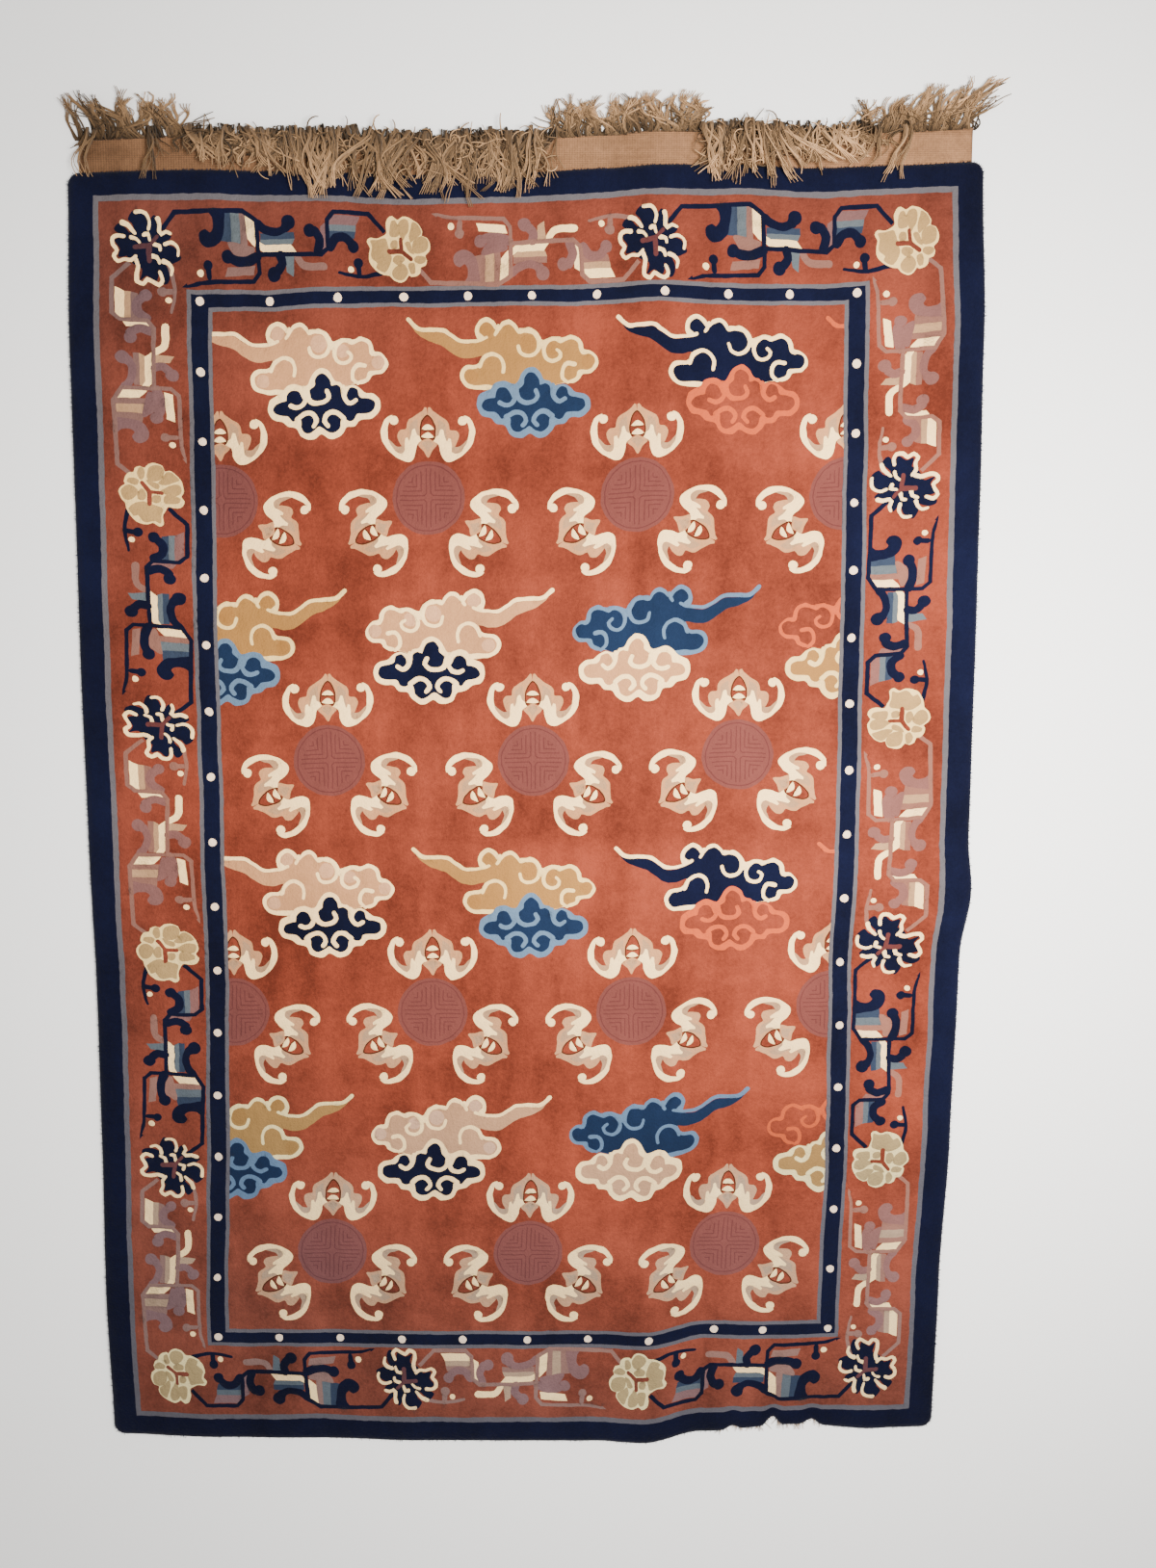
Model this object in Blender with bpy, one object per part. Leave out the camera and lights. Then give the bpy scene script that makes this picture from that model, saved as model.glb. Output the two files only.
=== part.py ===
"""A Peking rug laid flat: a knotted wool body with a plain-woven strip and a tousled fringe at one end.

Metres, +Z up. The rug lies on the XY plane with its underside at z = 0 and the middle of its wool body at
the origin. +Y points to the fringed end. The body is drawn on an even rectangle, and then drifts as the
real weave does: it is a little out of square, its sides bulge, and its plain end steps in near one corner,
where the pile is worn away.
"""
import bpy
import bmesh
import math
import random

# Wool body
WIDTH = 1.232
LENGTH = 1.810
THICKNESS = 0.010
CORNER_RADIUS = 0.016
SKEW = 0.0174
EDGE_RINGS = (
    # inset from the edge, drop below the top of the pile
    {"inset": 0.000, "drop": 0.0030},
    {"inset": 0.004, "drop": 0.0010},
    {"inset": 0.012, "drop": 0.0002},
)
GRID_STEP = 0.060
WORN_STEP = 0.008
WORN_FROM = 0.286
WORN_TO = 0.470
SWELL = 0.0005
SWELL_WAVE_X = 0.41
SWELL_WAVE_Y = 0.56

# How far each side has drifted to +X from the even rectangle, along Y
SIDE_DRIFT = (
    {"y": -0.905, "left": 0.005, "right": -0.009},
    {"y": -0.679, "left": 0.000, "right": -0.006},
    {"y": -0.452, "left": 0.002, "right": 0.002},
    {"y": -0.226, "left": 0.003, "right": 0.005},
    {"y": 0.000, "left": -0.001, "right": 0.012},
    {"y": 0.226, "left": -0.003, "right": 0.011},
    {"y": 0.452, "left": -0.002, "right": 0.009},
    {"y": 0.679, "left": -0.002, "right": 0.006},
    {"y": 0.905, "left": 0.004, "right": -0.004},
)

# How far each end has drifted to +Y, along X; the plain end steps in between x = 0.185 and 0.270
END_DRIFT = (
    {"x": -0.616, "plain": 0.012, "fringed": 0.001},
    {"x": -0.460, "plain": 0.005, "fringed": 0.003},
    {"x": -0.310, "plain": 0.003, "fringed": -0.001},
    {"x": -0.150, "plain": -0.003, "fringed": -0.008},
    {"x": 0.000, "plain": -0.004, "fringed": -0.007},
    {"x": 0.110, "plain": -0.005, "fringed": -0.003},
    {"x": 0.185, "plain": -0.010, "fringed": 0.001},
    {"x": 0.270, "plain": 0.009, "fringed": -0.001},
    {"x": 0.390, "plain": 0.008, "fringed": -0.007},
    {"x": 0.500, "plain": 0.011, "fringed": -0.005},
    {"x": 0.616, "plain": 0.014, "fringed": -0.002},
)

# Where the plain end's pile is worn back, and where the right side's edge swells out
WORN_BAYS = (
    {"x": 0.405, "half_width": 0.125, "depth": 0.011},
    {"x": 0.317, "half_width": 0.016, "depth": 0.007},
    {"x": 0.377, "half_width": 0.016, "depth": 0.015},
    {"x": 0.436, "half_width": 0.018, "depth": 0.009},
)
SIDE_SWELLING = {"y": -0.095, "half_width": 0.085, "height": 0.009}

# Woven strip at the fringed end
STRIP_DEPTH = 0.045
STRIP_THICKNESS = 0.003
STRIP_END_INSET = 0.010
GAP = 0.0003

# Fringe
LOCKS = 132
LOCK_WIDTH = 0.0054
LOCK_TIP_WIDTH = 0.0024
LOCK_TIP_THICKNESS = 0.0014
LOCK_STEPS = 6
LOCK_WOBBLE = 0.0011
LOCK_ARCH = 0.0050
LENGTH_VARIATION = 0.16
FRINGE_SEED = 7
LEAN_AT = 0.070

# How the fringe lies along X: reach is from the strip's outer edge, outward if positive and folded back over
# the strip and the pile if negative; lean is how far a lock has strayed to +X once it is LEAN_AT from its root
FRINGE_LIE = (
    {"x": -0.610, "reach": 0.058, "lean": -0.016},
    {"x": -0.455, "reach": 0.050, "lean": 0.004},
    {"x": -0.454, "reach": -0.036, "lean": 0.012},
    {"x": -0.340, "reach": -0.044, "lean": 0.016},
    {"x": -0.330, "reach": -0.074, "lean": 0.014},
    {"x": -0.190, "reach": -0.076, "lean": -0.008},
    {"x": -0.070, "reach": -0.080, "lean": 0.007},
    {"x": 0.032, "reach": -0.078, "lean": -0.006},
    {"x": 0.033, "reach": 0.046, "lean": -0.004},
    {"x": 0.238, "reach": 0.044, "lean": 0.010},
    {"x": 0.239, "reach": -0.074, "lean": 0.010},
    {"x": 0.335, "reach": -0.070, "lean": 0.018},
    {"x": 0.345, "reach": -0.046, "lean": 0.024},
    {"x": 0.440, "reach": -0.040, "lean": 0.018},
    {"x": 0.441, "reach": 0.040, "lean": 0.014},
    {"x": 0.610, "reach": 0.060, "lean": 0.040},
)

# Single locks that lie against the others, by the x of their root
STRAY_LOCKS = (
    {"x": -0.588, "reach": -0.052, "lean": -0.004},
    {"x": -0.490, "reach": -0.060, "lean": 0.004},
    {"x": 0.462, "reach": -0.056, "lean": -0.003},
    {"x": 0.505, "reach": -0.062, "lean": 0.004},
)

# Folded-back locks: how they leave the strip, before they run back level with the pile
FOLD_TURN = (
    {"out": 0.0055, "height": 0.0017},
    {"out": 0.0090, "height": 0.0048},
    {"out": 0.0050, "height": 0.0078},
)
FOLD_SHARE = 0.24
FOLD_CLEARANCE = 0.0008

WOOL_COLOUR = (0.40, 0.095, 0.045, 1.0)
COTTON_COLOUR = (0.36, 0.22, 0.105, 1.0)


def between(rows, key, column, at):
    """The value of a table's column at a place between its rows, eased from row to row."""
    if at <= rows[0][key]:
        return rows[0][column]
    for low, high in zip(rows, rows[1:]):
        if at <= high[key]:
            share = (at - low[key]) / (high[key] - low[key])
            eased = share * share * (3 - 2 * share)
            return low[column] + (high[column] - low[column]) * eased
    return rows[-1][column]


def bump(at, centre, half_width):
    """A smooth hump: 1 at its centre and 0 from half_width on."""
    away = abs(at - centre) / half_width
    return 0.5 + 0.5 * math.cos(math.pi * away) if away < 1 else 0.0


def round_corner(x, y):
    """Moves a point in a corner's square into the quarter circle of the corner."""
    over_x = abs(x) - (WIDTH / 2 - CORNER_RADIUS)
    over_y = abs(y) - (LENGTH / 2 - CORNER_RADIUS)
    if over_x <= 0 or over_y <= 0:
        return x, y
    square = 2 * CORNER_RADIUS * CORNER_RADIUS
    round_x = over_x * math.sqrt(1 - over_y * over_y / square)
    round_y = over_y * math.sqrt(1 - over_x * over_x / square)
    return (
        math.copysign(WIDTH / 2 - CORNER_RADIUS + round_x, x),
        math.copysign(LENGTH / 2 - CORNER_RADIUS + round_y, y),
    )


def drifted(x, y):
    """Where a point of the even rectangle lies on the real, uneven rug."""
    across = x / WIDTH + 0.5
    along = y / LENGTH + 0.5
    left = between(SIDE_DRIFT, "y", "left", y)
    right = between(SIDE_DRIFT, "y", "right", y)
    plain = between(END_DRIFT, "x", "plain", x)
    fringed = between(END_DRIFT, "x", "fringed", x)
    return x + left + (right - left) * across, y + plain + (fringed - plain) * along + SKEW * x


def body_point(x, y):
    """A point of the body's plan: drifted, with the worn bays and the swollen side."""
    near_plain_end = max(0.0, -y / (LENGTH / 2)) ** 8
    near_right_side = max(0.0, x / (WIDTH / 2)) ** 8
    wear = sum(bay["depth"] * bump(x, bay["x"], bay["half_width"]) for bay in WORN_BAYS)
    swelling = SIDE_SWELLING["height"] * bump(y, SIDE_SWELLING["y"], SIDE_SWELLING["half_width"])
    round_x, round_y = round_corner(x, y)
    out_x, out_y = drifted(round_x, round_y)
    return out_x + swelling * near_right_side, out_y + wear * near_plain_end


def pile_top(x, y):
    """The height of the pile: level, but for a slow swell."""
    wave = math.sin(math.tau * x / SWELL_WAVE_X + 0.8) * math.sin(math.tau * y / SWELL_WAVE_Y)
    return THICKNESS + SWELL * wave


def stations(half, spans):
    """Places across the body: the edge rings at both ends, and even steps between them."""
    insets = [ring["inset"] for ring in EDGE_RINGS]
    first = -half + insets[-1]
    inner = []
    start = first
    for end, step in spans + [(-first, GRID_STEP)]:
        count = max(1, round((end - start) / step))
        inner += [start + (end - start) * i / count for i in range(count)]
        start = end
    return [-half + inset for inset in insets[:-1]] + inner + [half - inset for inset in reversed(insets)]


def drop_at(column, row, columns, rows):
    """How far the pile's top is rounded down at a place in the grid of stations."""
    ring = min(column, row, columns - 1 - column, rows - 1 - row)
    return EDGE_RINGS[ring]["drop"] if ring < len(EDGE_RINGS) else 0.0


def finish_object(name, mesh_edit, colour, roughness):
    """Turns an edited mesh into an object with its own material."""
    bmesh.ops.recalc_face_normals(mesh_edit, faces=mesh_edit.faces[:])
    mesh = bpy.data.meshes.new(name)
    mesh_edit.to_mesh(mesh)
    mesh_edit.free()
    material = bpy.data.materials.new(name + "_material")
    material.use_nodes = True
    shader = material.node_tree.nodes["Principled BSDF"]
    shader.inputs["Base Color"].default_value = colour
    shader.inputs["Roughness"].default_value = roughness
    shader.inputs["Metallic"].default_value = 0.0
    mesh.materials.append(material)
    made = bpy.data.objects.new(name, mesh)
    bpy.context.collection.objects.link(made)
    return made


def make_carpet(x_stations, y_stations):
    """The wool body: a grid for the top of the pile, upright sides and one flat underside."""
    edit = bmesh.new()
    columns, rows = len(x_stations), len(y_stations)
    top = []
    for row, y in enumerate(y_stations):
        line = []
        for column, x in enumerate(x_stations):
            place_x, place_y = body_point(x, y)
            height = pile_top(place_x, place_y) - drop_at(column, row, columns, rows)
            line.append(edit.verts.new((place_x, place_y, height)))
        top.append(line)
    for row in range(rows - 1):
        for column in range(columns - 1):
            edit.faces.new(
                (top[row][column], top[row][column + 1], top[row + 1][column + 1], top[row + 1][column])
            )
    rim = top[0][:-1] + [line[-1] for line in top[:-1]]
    rim += top[-1][:0:-1] + [line[0] for line in top[:0:-1]]
    base = [edit.verts.new((vert.co.x, vert.co.y, 0.0)) for vert in rim]
    for i, vert in enumerate(rim):
        after = (i + 1) % len(rim)
        edit.faces.new((vert, base[i], base[after], rim[after]))
    edit.faces.new(base)
    return finish_object("carpet", edit, WOOL_COLOUR, 0.95)


def level_at(line, x):
    """The y of a line of points at x, straight from point to point."""
    for (x0, y0), (x1, y1) in zip(line, line[1:]):
        if x <= x1:
            return y0 + (y1 - y0) * (x - x0) / (x1 - x0)
    return line[-1][1]


def lock_route(root_x, root_y, lie, pile_edge, chance):
    """The middle line of one lock as (x, y, height, share of its length)."""
    reach = abs(lie["reach"]) * (1 + LENGTH_VARIATION * chance.uniform(-1, 1))
    side_wave = LOCK_WOBBLE * chance.uniform(-1, 1)
    waves = chance.uniform(1.0, 2.0)
    arch = LOCK_ARCH * chance.uniform(0, 1)

    def x_at(share):
        strayed = lie["lean"] * (reach * share / LEAN_AT) ** 1.5
        return root_x + strayed + side_wave * math.sin(math.pi * waves * share)

    route = []
    if lie["reach"] > 0:
        for step in range(1, LOCK_STEPS + 1):
            share = step / LOCK_STEPS
            route.append((x_at(share), root_y + reach * share, None, share))
        return route
    for step, turn in enumerate(FOLD_TURN, 1):
        share = FOLD_SHARE * step / len(FOLD_TURN)
        route.append((root_x, root_y + turn["out"], turn["height"], share))
    lying = THICKNESS + SWELL + FOLD_CLEARANCE + LOCK_TIP_THICKNESS
    back_steps = LOCK_STEPS - 1
    for step in range(1, back_steps + 1):
        share = step / back_steps
        y = root_y - reach * share
        climb = min(1.0, (root_y - y) / (root_y - pile_edge))
        height = FOLD_TURN[-1]["height"] + (lying - FOLD_TURN[-1]["height"]) * climb
        height += arch * math.sin(math.pi * share)
        route.append((x_at(share), y, height, FOLD_SHARE + (1 - FOLD_SHARE) * share))
    return route


def grow_lock(edit, root, route, width):
    """Pulls one lock out of the four points of its root: left and right, low and high."""
    ring = root
    here_y, here_z = root[0].co.y, STRIP_THICKNESS / 2
    for i, (x, y, height, share) in enumerate(route):
        half_width = (width + (LOCK_TIP_WIDTH - width) * share) / 2
        thickness = STRIP_THICKNESS + (LOCK_TIP_THICKNESS - STRIP_THICKNESS) * min(1.0, share * 1.5)
        if height is None:
            new = [(x - half_width, y, 0.0), (x + half_width, y, 0.0)]
            new += [(x + half_width, y, thickness), (x - half_width, y, thickness)]
        else:
            ahead = route[i + 1] if i + 1 < len(route) else None
            next_y = ahead[1] if ahead else y
            next_z = ahead[2] if ahead else height
            run, rise = next_y - here_y, next_z - here_z
            size = math.hypot(run, rise)
            up_y, up_z = -rise / size * thickness / 2, run / size * thickness / 2
            new = [(x - half_width, y - up_y, height - up_z), (x + half_width, y - up_y, height - up_z)]
            new += [(x + half_width, y + up_y, height + up_z), (x - half_width, y + up_y, height + up_z)]
            here_y, here_z = y, height
        fresh = [edit.verts.new(place) for place in new]
        for k in range(4):
            edit.faces.new((ring[k], ring[(k + 1) % 4], fresh[(k + 1) % 4], fresh[k]))
        ring = fresh
    edit.faces.new(ring)


def lie_at(x, pitch):
    """How the lock rooted at x lies: as a stray lock of its own, or as the table of the fringe says."""
    for stray in STRAY_LOCKS:
        if abs(stray["x"] - x) <= pitch / 2:
            return stray
    return {
        "reach": between(FRINGE_LIE, "x", "reach", x),
        "lean": between(FRINGE_LIE, "x", "lean", x),
    }


def make_kilim_fringe(pile_edge_line):
    """The woven strip, parted from the pile by a hair, with the fringe growing out of its outer edge."""
    chance = random.Random(FRINGE_SEED)
    edit = bmesh.new()
    left = pile_edge_line[0][0] + STRIP_END_INSET
    right = pile_edge_line[-1][0] - STRIP_END_INSET
    pitch = (right - left) / LOCKS
    marks = []
    roots = []
    for i in range(LOCKS):
        middle = left + pitch * (i + 0.5)
        width = LOCK_WIDTH * chance.uniform(0.85, 1.1)
        if i == 0:
            marks.append(left)
        roots.append((len(marks), middle, width))
        marks += [middle - width / 2, middle + width / 2]
    marks.append(right)
    columns = []
    for x in marks:
        inner_y = level_at(pile_edge_line, x) + GAP
        outer_y = inner_y + STRIP_DEPTH
        columns.append(
            {
                "inner_low": edit.verts.new((x, inner_y, 0.0)),
                "inner_high": edit.verts.new((x, inner_y, STRIP_THICKNESS)),
                "outer_low": edit.verts.new((x, outer_y, 0.0)),
                "outer_high": edit.verts.new((x, outer_y, STRIP_THICKNESS)),
            }
        )
    rooted = {mark for mark, _, _ in roots}
    for i, (here, after) in enumerate(zip(columns, columns[1:])):
        edit.faces.new((here["inner_high"], after["inner_high"], after["outer_high"], here["outer_high"]))
        edit.faces.new((here["inner_low"], here["outer_low"], after["outer_low"], after["inner_low"]))
        edit.faces.new((here["inner_low"], after["inner_low"], after["inner_high"], here["inner_high"]))
        if i not in rooted:
            edit.faces.new((here["outer_low"], here["outer_high"], after["outer_high"], after["outer_low"]))
    for end in (columns[0], columns[-1]):
        edit.faces.new((end["inner_low"], end["inner_high"], end["outer_high"], end["outer_low"]))
    for mark, middle, width in roots:
        here, after = columns[mark], columns[mark + 1]
        root = [here["outer_low"], after["outer_low"], after["outer_high"], here["outer_high"]]
        lie = lie_at(middle, pitch)
        pile_edge = level_at(pile_edge_line, middle)
        route = lock_route(middle, here["outer_low"].co.y, lie, pile_edge, chance)
        grow_lock(edit, root, route, width)
    return finish_object("kilim_fringe", edit, COTTON_COLOUR, 0.9)


def main():
    for old in list(bpy.data.objects):
        bpy.data.objects.remove(old, do_unlink=True)
    x_stations = stations(WIDTH / 2, [(WORN_FROM, GRID_STEP), (WORN_TO, WORN_STEP)])
    y_stations = stations(LENGTH / 2, [])
    make_carpet(x_stations, y_stations)
    pile_edge_line = [body_point(x, LENGTH / 2) for x in x_stations]
    make_kilim_fringe(pile_edge_line)


main()
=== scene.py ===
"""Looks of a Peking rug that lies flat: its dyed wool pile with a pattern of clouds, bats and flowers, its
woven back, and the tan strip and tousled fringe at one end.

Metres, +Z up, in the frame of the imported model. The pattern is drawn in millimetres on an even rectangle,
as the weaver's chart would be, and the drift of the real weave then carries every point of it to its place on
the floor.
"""
import math
import random

import bpy
import numpy as np
from mathutils import Matrix, Vector, noise
from mathutils.geometry import delaunay_2d_cdt
from mathutils.kdtree import KDTree


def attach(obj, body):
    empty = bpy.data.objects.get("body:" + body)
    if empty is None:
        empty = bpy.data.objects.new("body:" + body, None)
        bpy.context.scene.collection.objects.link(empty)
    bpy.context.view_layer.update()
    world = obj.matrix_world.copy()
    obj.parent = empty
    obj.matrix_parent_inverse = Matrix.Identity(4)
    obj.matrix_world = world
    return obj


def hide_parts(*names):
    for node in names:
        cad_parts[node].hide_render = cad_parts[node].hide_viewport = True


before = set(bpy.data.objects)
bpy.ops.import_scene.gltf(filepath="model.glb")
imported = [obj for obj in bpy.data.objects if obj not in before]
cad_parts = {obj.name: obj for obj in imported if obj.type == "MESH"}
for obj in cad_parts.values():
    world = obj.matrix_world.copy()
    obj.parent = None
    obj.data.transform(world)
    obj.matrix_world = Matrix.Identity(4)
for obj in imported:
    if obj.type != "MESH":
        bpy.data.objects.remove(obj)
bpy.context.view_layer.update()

MM = 0.001


def table(columns, *rows):
    """Rows of values, each value under the name of its column."""
    names = columns.split()
    return tuple(dict(zip(names, row)) for row in rows)


# The even rectangle of the weaver's chart, in millimetres from the middle of the rug. OVERHANG is how far the
# edge's shapes reach past it, to be cut off there
HALF_WIDTH = 616
HALF_LENGTH = 905
OVERHANG = 4
CORNER_RADIUS = 16
SKEW = 0.0174

# The pile's thickness and its slow swell, in metres
THICKNESS = 0.010
SWELL = 0.0005
SWELL_WAVE_X = 0.41
SWELL_WAVE_Y = 0.56
SWELL_PHASE = 0.8

# Border lines: half width and half length of the rectangle that each one's outer edge draws
GUARD = {"x": 582, "y": 874, "width": 7.5}
PEARL_BAND = {"x": 463, "y": 760, "line": 5.5, "side_width": 33, "end_width": 27}
FIELD_HALF_WIDTH = PEARL_BAND["x"] - PEARL_BAND["side_width"]
FIELD_HALF_LENGTH = PEARL_BAND["y"] - PEARL_BAND["end_width"]

# How far each side has drifted to +X from the even rectangle, along Y
SIDE_DRIFT = table(
    "y left right",
    (-905, 5, -9), (-679, 0, -6), (-452, 2, 2), (-226, 3, 5), (0, -1, 12), (226, -3, 11), (452, -2, 9),
    (679, -2, 6), (905, 4, -4),
)

# How far each end has drifted to +Y, along X; the plain end steps in between x = 185 and 270
END_DRIFT = table(
    "x plain fringed",
    (-616, 12, 1), (-460, 5, 3), (-310, 3, -1), (-150, -3, -8), (0, -4, -7), (110, -5, -3), (185, -10, 1),
    (270, 9, -1), (390, 8, -7), (500, 11, -5), (616, 14, -2),
)
WORN_BAYS = table(
    "x half_width depth",
    (405, 125, 11), (317, 16, 7), (377, 16, 15), (436, 18, 9),
)
SIDE_SWELLING = {"y": -95, "half_width": 85, "height": 9}

# How steeply the wear and the swelling fade out inward, and the least wear that counts
WEAR_FADE = 30
WEAR_LEAST = 0.01
SWELLING_FADE = 8

# How far the band of pearls has drifted from its place in the even rectangle, along Y and along X, on top of
# the drift of the edges. It fades out from the band to the guard stripe
BAND_HALF_WIDTH = 447
BAND_HALF_LENGTH = 745
BAND_SIDE_DRIFT = table(
    "y left right",
    (-745, -6, 8), (-560, -1, 7), (-372, 2, 4), (-190, 4, 0), (190, 6, -1), (372, 5, -1), (560, 7, -1),
    (745, 9, -2),
)
BAND_END_DRIFT = table(
    "x plain fringed",
    (-447, 1, -12), (-358, 0, -10), (-268, 1, -4), (-179, 3, 1), (0, 2, -1), (89, 2, -4), (179, 3, -3),
    (268, 4, -9), (447, 3, -6),
)
# The pearls' own places along the fringed end's band and the plain end's, beyond their even steps
PEARL_SLIDES = {
    "fringed": (0, 5, 9, 10, 8, 5, 4, 8, 4, -2, 0),
    "plain": (0, 1, 1, 2, 3, 7, 7, 7, 13, -5, 0),
}

# Woven strip at the fringed end, in metres
STRIP_DEPTH = 0.045
STRIP_THICKNESS = 0.003
STRIP_END_INSET = 0.010
STRIP_ROWS = 12
STRIP_COLUMNS = 260
STRIP_COLOUR = (0.236, 0.119, 0.059)
STRIP_DRIFT = 0.34
GAP = 0.0003

# Fringe: locks of strings, and strings of yarns, in metres. Past FRINGE_LIMIT, only a share OVER_LIMIT stays
LOCKS = 132
LEAN_AT = 0.070
STRINGS_LEAST = 3
STRINGS_MOST = 4
MORE_OUTWARD = 2
STRING_RADIUS = 0.0011
YARNS_LEAST = 2
YARNS_MOST = 4
YARN_PITCH = 0.0017
YARN_STEPS = 10
UNDER_YARNS = 5
WILD_SHARE = 0.36
FLAT_SHARE = 0.35
FLAT_SWAY = 0.3
FLAT_LAP = 0.0003
HOOKED_SHARE = 0.35
FORK_FROM = 0.72
FOLD_OUT = 0.0085
FOLD_HEIGHT = 0.0078
FOLD_SHARE = 0.24
FOLD_CLEARANCE = 0.0008
FRINGE_LIMIT = 0.652
OVER_LIMIT = 0.2
FRINGE_COLOUR = (0.221, 0.133, 0.068)
YARN_DRIFT = 0.20
FRINGE_SEED = 7

# Loose yarns matted over the strip, in metres
TANGLE_YARNS = 560
TANGLE_STEPS = 7
TANGLE_BEND = 3.0
TANGLE_INSET = 0.02
TANGLE_FULL_REACH = 0.060
TANGLE_PAST = 0.004
TANGLE_OFF_PILE = 0.006
TANGLE_HEIGHT = {"on_strip": STRIP_THICKNESS + 0.004, "on_pile": THICKNESS + 0.0022}
TANGLE_ARCH = 0.003
TANGLE_SEED = 19

# How the fringe lies along X. Reach is from the strip's outer edge: outward if positive, and folded back over
# the strip and the pile if negative. Lean is how far a lock strays to +X on the way to LEAN_AT from its root
FRINGE_LIE = table(
    "x reach lean",
    (-0.610, 0.058, -0.016), (-0.455, 0.050, 0.004), (-0.454, -0.042, 0.012), (-0.340, -0.050, 0.016),
    (-0.330, -0.076, 0.014), (-0.190, -0.076, -0.008), (-0.070, -0.080, 0.007), (0.032, -0.078, -0.006),
    (0.033, 0.046, -0.004), (0.238, 0.044, 0.010), (0.239, -0.074, 0.010), (0.335, -0.070, 0.018),
    (0.345, -0.046, 0.024), (0.440, -0.040, 0.018), (0.441, 0.040, 0.014), (0.610, 0.064, 0.046),
)
STRAY_LOCKS = table(
    "x reach lean",
    (-0.588, -0.052, -0.004), (-0.490, -0.060, 0.004), (0.462, -0.056, -0.003), (0.505, -0.062, 0.004),
)

# Underside: its height above the floor in metres, its inset in millimetres and the share of the pile's light
BACK_THICKNESS = 0.003
BACK_INSET = 2.5
BACK_SHADE = 0.85

# Short wool round the edge, in millimetres from tuft to tuft and in metres of radius
FUZZ_SPACING = 3.0
FUZZ_TUFTS = 3
FUZZ_SEED = 23
FUZZ_INSIDE = 0.0015
FUZZ_RADIUS = {"root": 0.0006, "tip": 0.0002}
FUZZ_COLOUR = (0.0115, 0.017, 0.045)
FUZZ_DRIFT = 0.35

# Bare warp ends in the worn bays, in millimetres along the plain end and in metres of radius
WORN_TUFTS = 70
WORN_FROM = 300
WORN_TO = 462
WORN_SEED = 31
WORN_STEPS = 4
WORN_ROOT = 0.003
WORN_CURL = 0.0012
WORN_RADIUS = {"root": 0.0006, "tip": 0.0003}
WORN_COLOUR = (0.19, 0.128, 0.083)

# Camera, solved from the rug's corners and border lines in the photograph
CAMERA_PLACE = (0.0851, 0.2454, 1.6454)
CAMERA_LOOK = (-0.0054, -0.1021, -0.9948)
CAMERA_UP = (-0.0062, 0.9948, -0.1021)
FOCAL_PIXELS = 1215
PHOTO_HEIGHT = 1628
SENSOR = 36.0

# Floor
FLOOR_REACH = 16.0
FLOOR_COLOUR = (0.90, 0.90, 0.90, 1.0)
FLOOR_ROUGHNESS = 0.9
FLOOR_DROP = 0.0004

# Light, with its spread in degrees
WORLD_COLOUR = (1.0, 0.985, 0.96, 1.0)
WORLD_STRENGTH = 0.76
LIGHTS = table(
    "name place aim size power colour spread",
    ("window", (0.66, 0.25, 1.74), (0.36, 0.12, 0.0), 0.8, 56.0, (1.0, 0.97, 0.92), 115),
    ("fill", (-1.8, -1.2, 2.2), (0.0, 0.0, 0.0), 2.0, 6.5, (1.0, 0.98, 0.96), 180),
)

# Dyes: linear colours of the wool
DYES = {row["name"]: row for row in table(
    "name colour drift",
    ("ground", (0.152, 0.0288, 0.0146), 0.46),
    ("navy", (0.00275, 0.00365, 0.0147), 0.35),
    ("stripe", (0.0862, 0.0778, 0.0847), 0.14),
    ("cream", (0.950, 0.620, 0.280), 0.12),
    ("pink", (0.416, 0.196, 0.0886), 0.16),
    ("rose", (0.410, 0.0700, 0.0230), 0.10),
    ("mauve", (0.160, 0.0655, 0.0539), 0.16),
    ("plum", (0.123, 0.0358, 0.0293), 0.12),
    ("plum_dark", (0.0862, 0.0231, 0.0208), 0.12),
    ("gold", (0.273, 0.129, 0.0350), 0.10),
    ("straw", (0.720, 0.490, 0.190), 0.12),
    ("blue", (0.00708, 0.0154, 0.0385), 0.20),
    ("steel", (0.0231, 0.0323, 0.0539), 0.16),
    ("pale_blue", (0.0860, 0.137, 0.205), 0.12),
    ("mist", (0.0770, 0.0909, 0.100), 0.12),
    ("beige", (0.331, 0.185, 0.0963), 0.14),
    ("pink_deep", (0.501, 0.258, 0.135), 0.16),
    ("gold_deep", (0.258, 0.117, 0.0308), 0.14),
    ("pearl", (0.840, 0.620, 0.430), 0.10),
    ("umber", (0.0501, 0.0115, 0.00470), 0.10),
    ("tan", (0.323, 0.193, 0.0732), 0.18),
    ("dusty", (0.193, 0.0801, 0.0554), 0.10),
)}
GROUND = "ground"

# Dust and wear, and painted shade: what they do to a dye, and how far from the middle of a clean oval they
# set in.
# The dimming outside the oval, which lies right of the middle, is partly dust and partly painted shade of the
# light falling off towards the left and the plain end
DUST_AND_SHADE = {"colour": (0.68, 0.72, 0.80), "x": 0.20, "y": 0.45, "half_width": 1.60, "half_length": 0.85}
RED_DUST_AND_SHADE = {"colour": (0.64, 0.93, 1.22), "x": 0.20, "y": 0.10, "half_width": 0.90, "half_length": 0.85}
RED_DYES = (GROUND, "plum", "plum_dark", "mauve", "dusty")
WARM_DUST_AND_SHADE = {"colour": (0.67, 0.83, 1.10), "x": 0.20, "y": 0.45, "half_width": 1.60, "half_length": 0.85}
WARM_DYES = ("gold", "gold_deep", "pink", "pink_deep", "beige", "tan", "straw")
DUST_AND_SHADE_FROM = 0.70
DUST_AND_SHADE_TO = 1.15


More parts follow.
